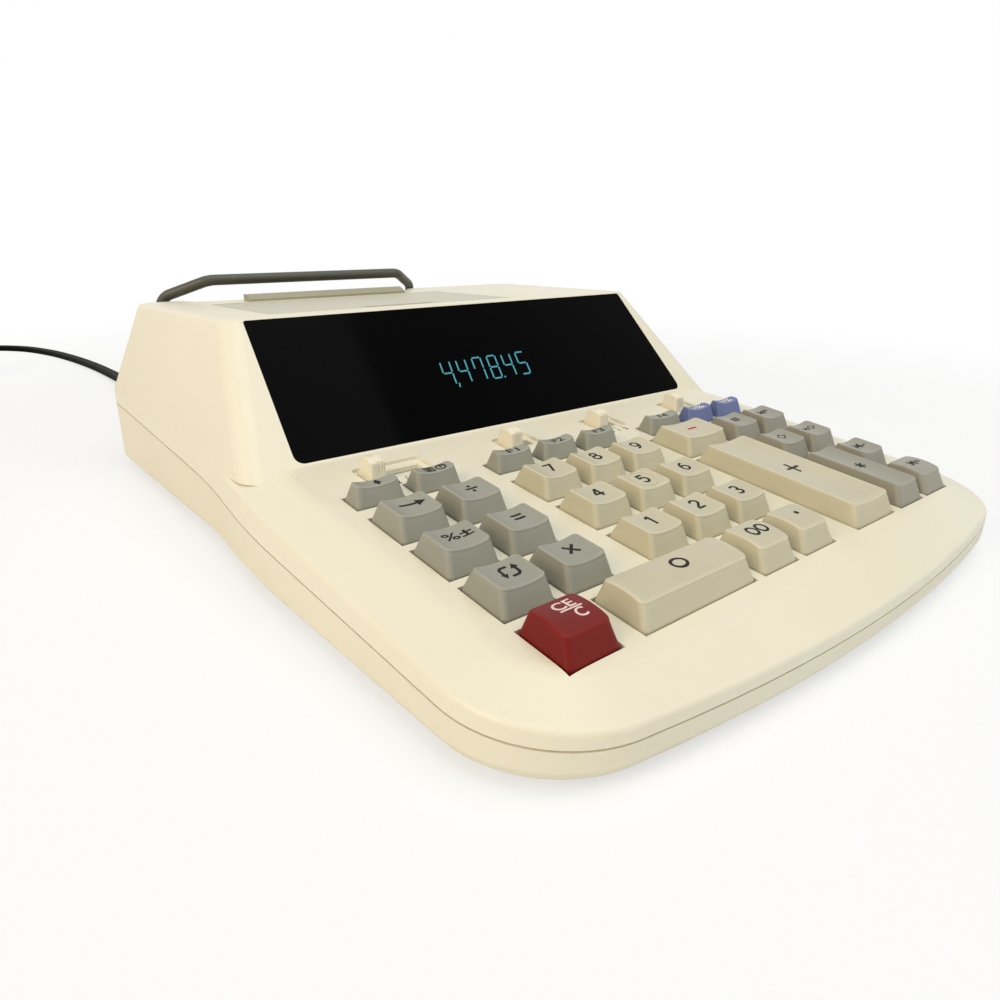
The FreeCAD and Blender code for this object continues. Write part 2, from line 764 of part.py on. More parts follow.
def lower_case():
    """Tray under the seam, with its screw bosses and the pads that carry what is inside."""
    band = math.hypot(keel_width, keel_height)
    outer = Part.makeLoft([plan_ring(keel_width, foot_height), plan_ring(0, foot_height + keel_height)],
                          True, True).fuse(plan_prism(0, foot_height + keel_height, above_all))
    floor_inset = keel_width + wall * (band - keel_width) / keel_height
    wall_z = foot_height + keel_height + wall * (band - keel_height) / keel_width
    hollow = Part.makeLoft([plan_ring(floor_inset, floor_z), plan_ring(wall, wall_z)],
                           True, True).fuse(plan_prism(wall, wall_z, above_all))
    tray = outer.cut(hollow)
    bosses = [rod(screw_boss_r, (x, y, foot_height), (x, y, above_all)) for x, y in screw_places()]
    pads = [rod(post_r, (x, y, foot_height), (x, y, above_all)).cut(above(deck_frame, board_low))
            for x, y in board_pads()]
    piers = [rod(post_r, (x, y, foot_height), (x, y, printer_floor_z)) for x, y in printer_pads()]
    tray = tray.fuse(bosses + pads + piers)
    groove = plan_prism(-overrun, 0, above_all).cut(plan_prism(seam_groove_depth, 0, above_all))
    groove = groove.cut(below(seam_frame, -seam_groove_height))
    cord_hole = rod(gland_r + pin_clearance, (cord_x, rear_y - 2 * wall, cord_z),
                    (cord_x, rear_y + wall, cord_z))
    cuts = [above(seam_frame, 0), groove, cord_hole]
    for x, y in screw_places():
        cuts.append(rod(screw_head_r + key_gap, (x, y, 0), (x, y, screw_seat(y))))
        cuts.append(rod(screw_r + key_gap, (x, y, 0), (x, y, above_all)))
    return tray.cut(cuts).removeSplitter()


def case_screws():
    """Pan-head screws up through the lower case, all alike."""
    screws = []
    for x, y in screw_places():
        seat = screw_seat(y)
        head = rod(screw_head_r, (x, y, seat - screw_head_height), (x, y, seat))
        cross = [block(x - a, x + a, y - b, y + b, seat - screw_head_height, seat - screw_head_height / 2)
                 for a, b in ((screw_r, screw_r / 4), (screw_r / 4, screw_r))]
        screws.append(head.fuse(rod(screw_r, (x, y, seat), (x, y, seat + screw_length))).cut(cross))
    return Part.makeCompound(screws)


def rubber_feet():
    """Four round feet with a bevelled lower edge."""
    feet = []
    for side in (-1, 1):
        for y in foot_y:
            foot = rod(foot_r, (side * foot_x, y, 0), (side * foot_x, y, foot_height))
            rim = [e for e in foot.Edges if e.BoundBox.ZMax < foot_height / 2 and len(e.Vertexes) == 1]
            feet.append(foot.makeChamfer(foot_bevel, rim))
    return Part.makeCompound(feet)


def board_pads():
    return [(side * x, y) for side in (-1, 1) for x in board_pad_x for y in board_pad_y]


def printer_pads():
    return [(printer_x + side * (frame_half - post_r - frame_wall), y)
            for side in (-1, 1) for y in (frame_front_y + post_r, frame_back_y - post_r)]


def main_board():
    """Keyboard circuit board parallel to the deck, with the four switch bodies and the rubber mat on it."""
    board = rounded_block(-board_half_width, board_half_width, board_front_v, board_back_v,
                          board_low, board_low + board_thick, post_r)
    bodies = []
    for number in range(len(switch_x)):
        x, travel = switch_sizes(number)
        bodies.append(block(x - knob_width / 2, x + travel + knob_width / 2, switch_v - knob_depth / 2,
                            switch_v + knob_depth / 2, board_low + board_thick, switch_body_top))
    return Part.makeCompound([place(s, deck_frame) for s in [board, key_mat()] + bodies])


def key_mat():
    """Rubber sheet on the board, in the deck's axes, with a sprung collar under each key stem."""
    low = board_low + board_thick
    edge = board_thick
    sheet = rounded_block(-board_half_width + edge, board_half_width - edge, board_front_v + edge, mat_back_v,
                          low, low + mat_thick, post_r)
    places = [spot for x0, x1, v0, v1, _ in key_layout().values() for spot in stem_centres(x0, x1, v0, v1)]
    collars = [rod(collar_r, (x, v, low), (x, v, low + mat_thick + collar_height)) for x, v in places]
    holes = [rod(collar_bore_r, (x, v, low - overrun), (x, v, 0)) for x, v in places]
    return sheet.fuse(collars).cut(holes).removeSplitter()


def from_drum(reach, angle):
    """Centre of a wheel at reach from the drum's axis, at angle from level behind it."""
    turn = math.radians(angle)
    return drum_y + reach * math.cos(turn), drum_z + reach * math.sin(turn)


roller_y, roller_z = from_drum(gear_module * (drum_teeth + roller_teeth) / 2, roller_angle)
motor_y, motor_z = from_drum(gear_module * (drum_teeth + pinion_teeth) / 2, motor_angle)
ink_y, ink_z = from_drum(drum_r + ink_r + ink_gap, ink_angle)


def gear(teeth, x0, x1, y, z, turned):
    """Spur gear about an axis along X: straight-sided teeth with backlash, one tooth at angle turned."""
    pitch_r = gear_module * teeth / 2
    tip_r, root_r = pitch_r + gear_addendum * gear_module, pitch_r - gear_dedendum * gear_module
    step = 2 * math.pi / teeth
    profile = []
    for tooth in range(teeth):
        middle = turned + tooth * step
        for r, share in ((root_r, -tooth_root_share), (tip_r, -tooth_tip_share),
                         (tip_r, tooth_tip_share), (root_r, tooth_root_share)):
            angle = middle + share * step
            profile.append(Vector(x0, y + r * math.cos(angle), z + r * math.sin(angle)))
    return Part.Face(Part.makePolygon(profile + profile[:1])).extrude(Vector(x1 - x0, 0, 0))


def printer_frame():
    """Chassis: floor, two side plates with bearing holes, the hammer bank and the motor's can."""
    x0, x1 = printer_x - frame_half, printer_x + frame_half
    floor = block(x0, x1, frame_front_y, frame_back_y, printer_floor_z, printer_floor_z + frame_wall)
    side = Part.makePolygon([Vector(0, y, z) for y, z in (
        (frame_front_y, printer_floor_z), (frame_back_y, printer_floor_z),
        (frame_back_y, frame_low_z), (frame_step_y, frame_low_z), (frame_step_y, frame_high_z),
        (frame_front_y, frame_high_z), (frame_front_y, printer_floor_z))])
    plates = [Part.Face(side).extrude(Vector(frame_wall, 0, 0)) for _ in range(2)]
    plates[0].translate(Vector(x0, 0, 0))
    plates[1].translate(Vector(x1 - frame_wall, 0, 0))
    hammers = block(x0 + frame_wall, x1 - frame_wall, hammer_y, hammer_y + hammer_depth,
                    hammer_low_z, hammer_high_z)
    chassis = floor.fuse(plates + [hammers])
    for r, y, z in ((shaft_r, drum_y, drum_z), (shaft_r, roller_y, roller_z), (ink_pin_r, ink_y, ink_z)):
        chassis = chassis.cut(rod(r + pin_clearance, (x0 - overrun, y, z), (x1 + overrun, y, z)))
    can_x = x0 + frame_wall
    can = rod(motor_r, (can_x, motor_y, motor_z), (can_x + motor_length, motor_y, motor_z))
    bore = rod(motor_shaft_r + pin_clearance, (x0 - overrun, motor_y, motor_z),
               (can_x + motor_length / 2, motor_y, motor_z))
    return Part.makeCompound([chassis.cut(bore).removeSplitter(), can.cut(bore)])


def print_drum():
    """Type drum with a raised ring for each column, its shaft through the side plates and its gear."""
    x0, x1 = printer_x - frame_half, printer_x + frame_half
    gear_x = x0 - gear_gap
    core = rod(drum_r - type_height, (printer_x - drum_half, drum_y, drum_z),
               (printer_x + drum_half, drum_y, drum_z))
    pitch = 2 * drum_half / drum_columns
    rings = []
    for column in range(drum_columns):
        x = printer_x - drum_half + pitch * (column + (1 - type_share) / 2)
        rings.append(rod(drum_r, (x, drum_y, drum_z), (x + pitch * type_share, drum_y, drum_z)))
    shaft = rod(shaft_r, (gear_x - gear_width, drum_y, drum_z), (x1 + shaft_end, drum_y, drum_z))
    wheel = gear(drum_teeth, gear_x - gear_width, gear_x, drum_y, drum_z, 0)
    return core.fuse(rings + [shaft, wheel]).removeSplitter()


def feed_roller():
    """Rubber-covered feed roller on its shaft, with the gear that turns it."""
    x0, x1 = printer_x - frame_half, printer_x + frame_half
    gear_x = x0 - gear_gap
    to_drum = math.atan2(drum_z - roller_z, drum_y - roller_y)
    sleeve = rod(roller_r, (printer_x - drum_half, roller_y, roller_z),
                 (printer_x + drum_half, roller_y, roller_z))
    shaft = rod(shaft_r, (gear_x - gear_width, roller_y, roller_z), (x1 + shaft_end, roller_y, roller_z))
    wheel = gear(roller_teeth, gear_x - gear_width, gear_x, roller_y, roller_z, meshed(to_drum, roller_teeth))
    return sleeve.fuse([shaft, wheel]).removeSplitter()


def meshed(towards_drum, teeth):
    """Turn of a gear so that a gap of it faces the drum gear's tooth nearest the line of centres."""
    drum_step, step = 2 * math.pi / drum_teeth, 2 * math.pi / teeth
    steps_round = (towards_drum + math.pi) / drum_step
    off = (steps_round - round(steps_round)) * drum_step
    return towards_drum + step / 2 + off * drum_teeth / teeth


def motor_pinion():
    """Rotor shaft that ends in the pinion beside the left side plate."""
    x0 = printer_x - frame_half
    gear_x = x0 - gear_gap
    to_drum = math.atan2(drum_z - motor_z, drum_y - motor_y)
    shaft = rod(motor_shaft_r, (gear_x - gear_width, motor_y, motor_z),
                (x0 + frame_wall + motor_length / 2 - shaft_end, motor_y, motor_z))
    wheel = gear(pinion_teeth, gear_x - gear_width, gear_x, motor_y, motor_z, meshed(to_drum, pinion_teeth))
    return shaft.fuse(wheel).removeSplitter()


def ink_roller():
    """Felt ink roller on two short pins in the side plates."""
    pins = rod(ink_pin_r, (printer_x - frame_half, ink_y, ink_z), (printer_x + frame_half, ink_y, ink_z))
    felt = rod(ink_r, (printer_x - drum_half, ink_y, ink_z), (printer_x + drum_half, ink_y, ink_z))
    return felt.fuse(pins).removeSplitter()


def printer_cover():
    """Lid over the ink roller, hinged along its back edge."""
    y, z = hinge_axis()
    x0, x1 = printer_x - cover_half_width, printer_x + cover_half_width
    plate = top_block(x0, x1, cover_front_y, y, -cover_thick, 0)
    barrel = rod(cover_barrel_r, (x0, y, z), (x1, y, z))
    pins = rod(cover_pin_r, (x0 - cover_pin_length, y, z), (x1 + cover_pin_length, y, z))
    grip = top_block(printer_x - cover_grip / 2, printer_x + cover_grip / 2, cover_front_y + cover_thick / 2,
                     cover_front_y + 2 * cover_thick, -cover_thick / 4, wall)
    return plate.fuse([barrel, pins]).cut(grip).removeSplitter()


def tear_bar():
    """Saw-edged strip in front of the paper slot."""
    x0 = printer_x - tear_bar_length / 2
    low = paper_slot_y - key_gap - tear_bar_width
    wedge = Part.makePolygon([Vector(x0, y - top_edge_y, n) for y, n in (
        (low, 0), (low + tear_bar_width, 0), (low + tear_bar_width, tear_bar_height),
        (low + tear_bar_width - tear_bar_height, tear_bar_height), (low, tear_bar_height / 3), (low, 0))])
    bar = Part.Face(wedge).extrude(Vector(tear_bar_length, 0, 0))
    pitch = tear_bar_length / tear_teeth
    back = low + tear_bar_width - top_edge_y
    notches = []
    for tooth in range(tear_teeth):
        x = x0 + tooth * pitch
        corners = [(x, back + overrun), (x + pitch, back + overrun), (x + pitch / 2, back - pitch / 2)]
        notch = Part.makePolygon([Vector(cx, cy, tear_bar_height / 2) for cx, cy in corners + corners[:1]])
        notches.append(Part.Face(notch).extrude(Vector(0, 0, tear_bar_height)))
    return place(bar.cut(notches).removeSplitter(), top_frame)


def transformer():
    """Laminated core round a wound bobbin, on a bracket with two feet."""
    x, y = transformer_x, transformer_y
    core_z = floor_z + bracket_thick
    core = block(x - core_width / 2, x + core_width / 2, y - core_depth / 2, y + core_depth / 2,
                 core_z, core_z + core_height)
    # The usual lamination: windows a sixth of the width, the middle limb a third
    window = core_width / 6
    middles = [x + side * core_width / 4 for side in (-1, 1)]
    holes = [block(middle - window / 2, middle + window / 2, y - core_depth, y + core_depth,
                   core_z + window, core_z + core_height - window) for middle in middles]
    winding = rounded_block(x - core_width / 3, x + core_width / 3, y - core_depth / 2 - coil_proud,
                            y + core_depth / 2 + coil_proud, core_z + window,
                            core_z + core_height - window, coil_proud)
    limb = block(x - window, x + window, y - core_depth / 2, y + core_depth / 2, core_z, above_all)
    winding = winding.cut(limb)
    winding = winding.cut(core.cut(holes))
    bracket = block(x - core_width / 2 - bracket_foot, x + core_width / 2 + bracket_foot,
                    y - core_depth / 4, y + core_depth / 4, floor_z, core_z)
    return Part.makeCompound([core.cut(holes), winding, bracket])


def bend(start, corner, end):
    """Arc that leaves start towards corner and reaches end coming from corner, both equally far from it."""
    half_turn = (corner - start).getAngle(end - corner) / 2
    middle = corner + ((start + end) / 2 - corner) / (1 + math.cos(half_turn))
    return Part.Arc(start, middle, end)


def rounded_path(points, radii):
    """Straight runs joined by tangent arcs at the inner points."""
    edges, last = [], Vector(*points[0])
    for before, corner, after, r in zip(points, points[1:], points[2:], radii):
        corner = Vector(*corner)
        back = (Vector(*before) - corner).normalize()
        on = (Vector(*after) - corner).normalize()
        half = back.getAngle(on) / 2
        tangent = r / math.tan(half)
        start, end = corner + back * tangent, corner + on * tangent
        edges.append(Part.LineSegment(last, start).toShape())
        edges.append(bend(start, corner, end).toShape())
        last = end
    edges.append(Part.LineSegment(last, Vector(*points[-1])).toShape())
    return Part.Wire(edges)


def tube(path, r):
    """Round bar swept along a path of straight runs and arcs."""
    start = path.Edges[0]
    heading = start.tangentAt(start.FirstParameter)
    ring = Part.Wire(Part.makeCircle(r, start.valueAt(start.FirstParameter), heading))
    return path.makePipeShell([ring], True, False)


def paper_arm():
    """Round bar bent to a U over the back of the top, with a pin at each foot in the case's ears."""
    points = []
    for side in (-1, 1):
        leg = [(printer_x + side * arm_knee_half, arm_pivot_y, arm_pivot_z),
               (printer_x + side * arm_knee_half, arm_knee_y, arm_knee_z),
               (printer_x + side * arm_bar_half, arm_bar_y, arm_bar_z)]
        points += leg if side < 0 else leg[::-1]
    bar = tube(rounded_path(points, [arm_bend_r] * 4), arm_bar_r)
    feet = []
    for side in (-1, 1):
        x = printer_x + side * arm_knee_half
        inner = x - side * (arm_bar_r + arm_side_gap + lug_width)
        feet.append(rod(arm_eye_r, (x - arm_bar_r, arm_pivot_y, arm_pivot_z),
                        (x + arm_bar_r, arm_pivot_y, arm_pivot_z)))
        feet.append(rod(arm_pin_r, (x, arm_pivot_y, arm_pivot_z), (inner, arm_pivot_y, arm_pivot_z)))
    return bar.fuse(feet)


def cord_gland():
    """Tapered strain relief that grips the case's back wall from both sides."""
    inside = rear_y - wall
    collar = rod(gland_flange_r, (cord_x, inside - gland_flange, cord_z), (cord_x, inside, cord_z))
    neck = rod(gland_r, (cord_x, inside - gland_flange, cord_z), (cord_x, rear_y + gland_flange, cord_z))
    flange = rod(gland_flange_r, (cord_x, rear_y, cord_z), (cord_x, rear_y + gland_flange, cord_z))
    boot = Part.makeCone(gland_r, cord_r + gland_tip_wall, gland_length - gland_flange,
                         Vector(cord_x, rear_y + gland_flange, cord_z), Vector(0, 1, 0))
    return collar.fuse([neck, flange, boot]).removeSplitter()


def bend_radii(points):
    """Each inner point's arc is as large as its two runs allow."""
    radii = []
    for before, corner, after in zip(points, points[1:], points[2:]):
        back, on = Vector(*corner) - Vector(*before), Vector(*after) - Vector(*corner)
        radii.append(bend_share * min(back.Length, on.Length) / math.tan(back.getAngle(on) / 2))
    return radii


def free_cord():
    """Strain relief and the cord's stretch from it to the coil, moulded in one."""
    radii = bend_radii(cord_points)
    print("cord bend radii", [round(r, 1) for r in radii])
    path = rounded_path(cord_points, radii)
    run = tube(path, cord_r)
    print("cord stretch", round(path.Length, 1), "volume over section times length",
          round(run.Volume / (math.pi * cord_r ** 2 * path.Length), 4))
    return cord_gland().fuse(run).removeSplitter()


def coil_path():
    """Two layers of turns: half turns about two centres in turn, in and then out again one layer up."""
    edges = []
    end_x, end_y, low = cord_points[-1]
    centre_y = end_y - coil_outer_r
    left_x = end_x - cord_end
    spot = Vector(left_x, end_y, low)
    edges.append(Part.LineSegment(Vector(end_x, end_y, low), spot))
    for layer in range(2):
        radii = [coil_outer_r - coil_pitch / 2 * n for n in range(coil_half_turns)]
        z = low + layer * coil_pitch
        for r in radii if layer == 0 else radii[::-1]:
            way = -1 if spot.y > centre_y else 1
            to = Vector(spot.x, spot.y + way * 2 * r, z)
            edges.append(Part.Arc(spot, Vector(spot.x + way * r, spot.y + way * r, z), to))
            spot = to
        if layer == 0:
            way = -1 if spot.y > centre_y else 1
            to = Vector(spot.x, spot.y + way * (2 * radii[-1] - coil_pitch), z + coil_pitch)
            reach = (to - spot).Length / 2
            corners = [spot + Vector(way * reach, 0, 0), to + Vector(way * reach, 0, 0)]
            middle = (corners[0] + corners[1]) / 2
            edges += [bend(spot, corners[0], middle), bend(middle, corners[1], to)]
            spot = to
    way = -1 if spot.y > centre_y else 1
    edges.append(Part.LineSegment(spot, spot + Vector(way * cord_end, 0, 0)))
    return Part.Wire([e.toShape() for e in edges])


def least_gap(path, r):
    """Least distance between the surfaces of two stretches of a tube that are not neighbours along it."""
    count = int(path.Length / (r / 2))
    spots = path.discretize(count)
    skip = int(6 * math.pi * r / (path.Length / count))
    nearest = min(a.distanceToPoint(b) for n, a in enumerate(spots) for b in spots[n + skip:])
    return nearest - 2 * r


def cord_coil():
    """The rest of the cord, put away in a neat round coil."""
    path = coil_path()
    print("coil length", round(path.Length, 1), "least gap", round(least_gap(path, cord_r), 2))
    return tube(path, cord_r)


def power_plug():
    """Moulded two-blade plug at the cord's far end, lying on the table."""
    end = coil_path().Edges[-1]
    start = end.valueAt(end.LastParameter)
    turned = FreeCAD.Rotation(Vector(0, 1, 0), Vector(0, 0, 1), Vector(1, 0, 0), "ZXY")
    along = FreeCAD.Placement(start, turned)
    body = Part.makeLoft([rounded_rectangle(-half_y, half_y, -half_z, half_z, reach, r)
                          for reach, half_y, half_z, r in plug_sections], True, True)
    face = plug_sections[-1][0]
    blades = []
    for side in (-1, 1):
        left = side * blade_spacing / 2 - blade_thick / 2
        blades.append(block(left, left + blade_thick, -blade_width / 2, blade_width / 2,
                            face, face + blade_length))
    return place(body.fuse(blades).removeSplitter(), along)


def nodes():
    """Every piece under its node's name."""
    pieces = {"key_" + name: key_cap(*size) for name, size in key_layout().items()}
    for number in range(len(switch_x)):
        pieces["switch_knob_%d" % (number + 1)] = switch_knob(number)
    shell = housing_shell()
    for make in (upper_case, paper_guide):
        pieces[make.__name__] = make(shell)
    for make in (lower_case, display_window, display_tube, main_board, printer_cover, tear_bar, paper_arm,
                 printer_frame, print_drum, feed_roller, ink_roller, motor_pinion, transformer,
                 rubber_feet, case_screws, cord_coil, power_plug):
        pieces[make.__name__] = make()
    pieces["power_cord"] = free_cord()
    return pieces


os.makedirs("parts", exist_ok=True)
for name, shape in nodes().items():
    shape.exportStep(os.path.join("parts", name + ".step"))
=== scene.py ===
"""Desk printing calculator, dressed: moulded keys with their marks, slide switches, lit display,
flat twin mains lead and the finish of every part of the machine. All lengths are in metres unless a
name or a comment says millimetres. X runs to the user's right, Y to the back, Z up.
"""
import json
import math

import bmesh
import bpy
import numpy as np
from mathutils import Matrix, Vector


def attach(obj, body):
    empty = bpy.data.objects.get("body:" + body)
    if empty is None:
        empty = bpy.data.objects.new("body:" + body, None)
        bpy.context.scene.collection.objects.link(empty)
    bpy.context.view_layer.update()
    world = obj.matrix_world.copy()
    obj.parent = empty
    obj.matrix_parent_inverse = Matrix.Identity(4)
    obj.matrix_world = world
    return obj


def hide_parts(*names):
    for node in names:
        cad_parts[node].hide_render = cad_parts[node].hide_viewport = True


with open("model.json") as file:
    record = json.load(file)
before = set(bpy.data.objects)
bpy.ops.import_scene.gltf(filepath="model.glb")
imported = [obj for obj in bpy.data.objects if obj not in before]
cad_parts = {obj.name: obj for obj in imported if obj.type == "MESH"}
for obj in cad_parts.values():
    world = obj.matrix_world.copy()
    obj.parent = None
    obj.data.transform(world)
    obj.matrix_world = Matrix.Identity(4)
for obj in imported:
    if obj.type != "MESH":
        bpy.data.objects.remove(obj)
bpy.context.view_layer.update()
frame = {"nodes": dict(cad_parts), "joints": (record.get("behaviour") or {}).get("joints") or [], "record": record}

bl_info = {
    "name": "Printing calculator",
    "version": (1, 0, 0),
    "blender": (4, 5, 0),
    "location": "3D View > Sidebar > Calculator",
    "description": "Builds the visible parts of a desk printing calculator on its frame",
    "category": "Object",
}

MM = 0.001

slots = {part["node"]: part["material_slot"] for part in frame["record"]["subparts"]}


# Planes of the machine


def places(mesh):
    """Points of a mesh, as rows of x, y and z."""
    values = np.empty(len(mesh.vertices) * 3)
    mesh.vertices.foreach_get("co", values)
    return values.reshape(-1, 3)


class Slope:
    """A flat face that tilts about X: x runs across, v up the slope and n out of it, in metres."""

    def __init__(self, y, z, degrees):
        self.y, self.z = y, z
        self.sin, self.cos = math.sin(math.radians(degrees)), math.cos(math.radians(degrees))

    def out(self, points):
        """Machine coordinates of rows x, v, n: v runs along (0, cos, sin) and n along (0, -sin, cos)."""
        x, v, n = np.moveaxis(np.asarray(points, float), -1, 0)
        return np.stack([x, self.y + v * self.cos - n * self.sin, self.z + v * self.sin + n * self.cos], -1)

    def span(self, node):
        """Least and greatest x, v, n of a node's own corners, by the inverse of the same turn."""
        matrix = np.array(frame["nodes"][node].matrix_world)
        x, y, z = matrix[:3, :3] @ places(frame["nodes"][node].data).T + matrix[:3, 3:]
        y, z = y - self.y, z - self.z
        local = np.stack([x, y * self.cos + z * self.sin, z * self.cos - y * self.sin], -1)
        return local.min(0), local.max(0)

    def middle(self, node):
        """Middle of a node's reach in x and v."""
        low, high = self.span(node)
        return (low[:2] + high[:2]) / 2


deck = Slope(-0.052, 0.026, 6.155)
display_face = Slope(-0.0065, 0.030907, 44.7)


# Surfaces on grids


def rounded_ring(half_x, half_y, r, turn=6, side=10):
    """Points round a rectangle with round corners, for a column of half sizes and radii.

    Each point is a corner's signs times (half size - r), plus r times the cosine and sine of an angle
    that turns a quarter at each corner; along a side the signs run over to the next corner's.
    """
    signs = np.array([(1, 1), (-1, 1), (-1, -1), (1, -1), (1, 1)], float)
    quarter_turn = np.linspace(0, 1, turn + 1)
    run = 0.5 - 0.5 * np.cos(np.pi * np.linspace(0, 1, side + 1)[1:-1])
    sx, sy, angle = [], [], []
    for quarter in range(4):
        here, there = signs[quarter], signs[quarter + 1]
        sx += [np.full(turn + 1, here[0]), here[0] + (there[0] - here[0]) * run]
        sy += [np.full(turn + 1, here[1]), here[1] + (there[1] - here[1]) * run]
        angle += [(quarter + quarter_turn) * np.pi / 2, np.full(len(run), (quarter + 1) * np.pi / 2)]
    sx, sy, angle = (np.concatenate(part)[None, :] for part in (sx, sy, angle))
    half_x, half_y, r = (np.asarray(value, float).reshape(-1, 1) for value in (half_x, half_y, r))
    return sx * (half_x - r) + r * np.cos(angle), sy * (half_y - r) + r * np.sin(angle)


def grid_faces(rows, columns, first_pole=None, last_pole=None):
    """Faces of a grid that wraps round in its columns, with a fan of triangles to each pole."""
    index = np.arange(rows * columns).reshape(rows, columns)
    after = np.roll(index, -1, axis=1)
    faces = np.stack([index[:-1], after[:-1], after[1:], index[1:]], -1).reshape(-1, 4).tolist()
    if first_pole is not None:
        faces += np.stack([after[0], index[0], np.full(columns, first_pole)], -1).tolist()
    if last_pole is not None:
        faces += np.stack([index[-1], after[-1], np.full(columns, last_pole)], -1).tolist()
    return faces


def closed_surface(name, grid):
    """Mesh of a grid of rings (rings, points, 3), closed at both ends by the middle of the end ring."""
    rows, columns = grid.shape[:2]
    count = rows * columns
    points = np.concatenate([grid.reshape(-1, 3), grid[0].mean(0)[None], grid[-1].mean(0)[None]])
    mesh = bpy.data.meshes.new(name)
    mesh.from_pydata(points.tolist(), [], grid_faces(rows, columns, count, count + 1))
    mesh.shade_smooth()
    return mesh


def cap_rings(base, top, edge, radii, wall, inward, turns):
    """Rings of a moulded cap: three at its foot, then up the wall, round the rim and in over the top.

    Half sizes and corner radii run evenly from the foot's to the top's with the wall's shares. Round
    the rim both lose edge times one minus the cosine of a quarter turn, and then they shrink by the
    inward shares. Gives half sizes, radii, shares, drops below the full height, and the rim's angles.
    """
    turn = np.linspace(0, np.pi / 2, turns)[1:]
    foot, up, over = np.zeros(3), np.zeros(len(wall)), np.ones(len(inward))
    share = np.concatenate([foot, wall, turn ** 0, over])[:, None]
    lost = np.concatenate([foot, up, 1 - np.cos(turn), over])[:, None] * edge
    shrink = np.concatenate([foot + 1, up + 1, turn ** 0, inward])[:, None]
    drop = np.concatenate([foot + 1, up + 1, 1 - np.sin(turn), over - 1])[:, None] * edge
    half = (base + (top - base) * share - lost) * shrink
    return half, (radii[0] + (radii[1] - radii[0]) * share - lost) * shrink, share, drop, turn


def loop_surface(name, grid):
    """Mesh of a grid that wraps round both ways, as a ring does."""
    index = np.arange(grid.shape[0] * grid.shape[1]).reshape(grid.shape[:2])
    right, up = np.roll(index, -1, axis=1), np.roll(index, -1, axis=0)
    faces = np.stack([index, right, np.roll(right, -1, axis=0), up], -1)
    mesh = bpy.data.meshes.new(name)
    mesh.from_pydata(grid.reshape(-1, 3).tolist(), [], faces.reshape(-1, 4).tolist())
    mesh.shade_smooth()
    return mesh


def paint(mesh, name, values):
    """Stores one number for each point of the mesh, for its material to read."""
    mesh.attributes.new(name, "FLOAT", "POINT").data.foreach_set("value", np.asarray(values, np.float32))


def add_piece(name, mesh, material, body, replaced=()):
    """Puts a finished mesh in the scene, on its body and with its material, and hides the nodes it replaces."""
    piece = bpy.data.objects.new(name, mesh)
    mesh.materials.append(material)
    bpy.context.scene.collection.objects.link(piece)
    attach(piece, body)
    if replaced:
        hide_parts(*replaced)
    return piece


def swept(name, path, section_x, section_y):
    """Mesh of a section carried along a path: point plus x times its side plus y times its up.

    The side is level and square to the path, and the up is square to both.
    """
    along = np.gradient(path, axis=0)
    along /= np.linalg.norm(along, axis=1, keepdims=True)
    side = np.cross(along, [0.0, 0.0, 1.0])
    side /= np.linalg.norm(side, axis=1, keepdims=True)
    up = np.cross(side, along)
    grid = path[:, None] + side[:, None] * section_x[..., None] + up[:, None] * section_y[..., None]
    return closed_surface(name, grid[:, ::-1])


def stroke(points, width):
    """Flat band of even width along a line of points, from height -1 to 1, as corners and faces.

    Each point is set off to both sides along the normal of the line there. A line that ends where it
    starts is closed.
    """
    points = np.asarray(points, float)
    closed = len(points) > 2 and np.allclose(points[0], points[-1])
    if closed:
        points = points[:-1]
        along = np.roll(points, -1, axis=0) - np.roll(points, 1, axis=0)
    else:
        along = np.gradient(points, axis=0)
    along /= np.linalg.norm(along, axis=1, keepdims=True)
    off = np.stack([along[:, 1], -along[:, 0]], -1) * width / 2
    rows = [np.column_stack([points + sign * off, np.full(len(points), height)])
            for sign, height in ((1, -1), (1, 1), (-1, 1), (-1, -1))]
    grid = np.stack(rows, axis=1)
    count = len(points)
    if closed:
        grid = np.concatenate([grid, grid[:1]])
        faces = grid_faces(count + 1, 4)
    else:
        last = 4 * count - 4
        faces = grid_faces(count, 4) + [[3, 2, 1, 0], [last, last + 1, last + 2, last + 3]]
    return grid.reshape(-1, 3), faces


def plate(outline):
    """Flat plate inside an outline that runs anticlockwise, from height -1 to 1, as corners and faces."""
    outline = np.asarray(outline, float)
    count = len(outline)
    points = np.concatenate([np.column_stack([outline, np.full(count, height)]) for height in (-1, 1)])
    here = np.arange(count)
    after = np.roll(here, -1)
    faces = np.stack([here, after, after + count, here + count], -1).tolist()
    return points, faces + [here[::-1].tolist(), (here + count).tolist()]


def arc(x, y, rx, ry, start=0.0, end=360.0, count=33):
    """Points of an ellipse: its middle plus rx times the cosine and ry times the sine of an angle."""
    angle = np.radians(np.linspace(start, end, count))
    return np.stack([x + rx * np.cos(angle), y + ry * np.sin(angle)], -1)


# Lettering


def evaluated(curve):
    """Points and faces of a curve or of lettering, which is used up."""
    holder = bpy.data.objects.new(curve.name, curve)
    bpy.context.scene.collection.objects.link(holder)
    bpy.context.view_layer.update()
    mesh = bpy.data.meshes.new_from_object(holder.evaluated_get(bpy.context.evaluated_depsgraph_get()))
    points, faces = places(mesh), [list(face.vertices) for face in mesh.polygons]
    bpy.data.objects.remove(holder)
    bpy.data.curves.remove(curve)
    bpy.data.meshes.remove(mesh)
    return points, faces


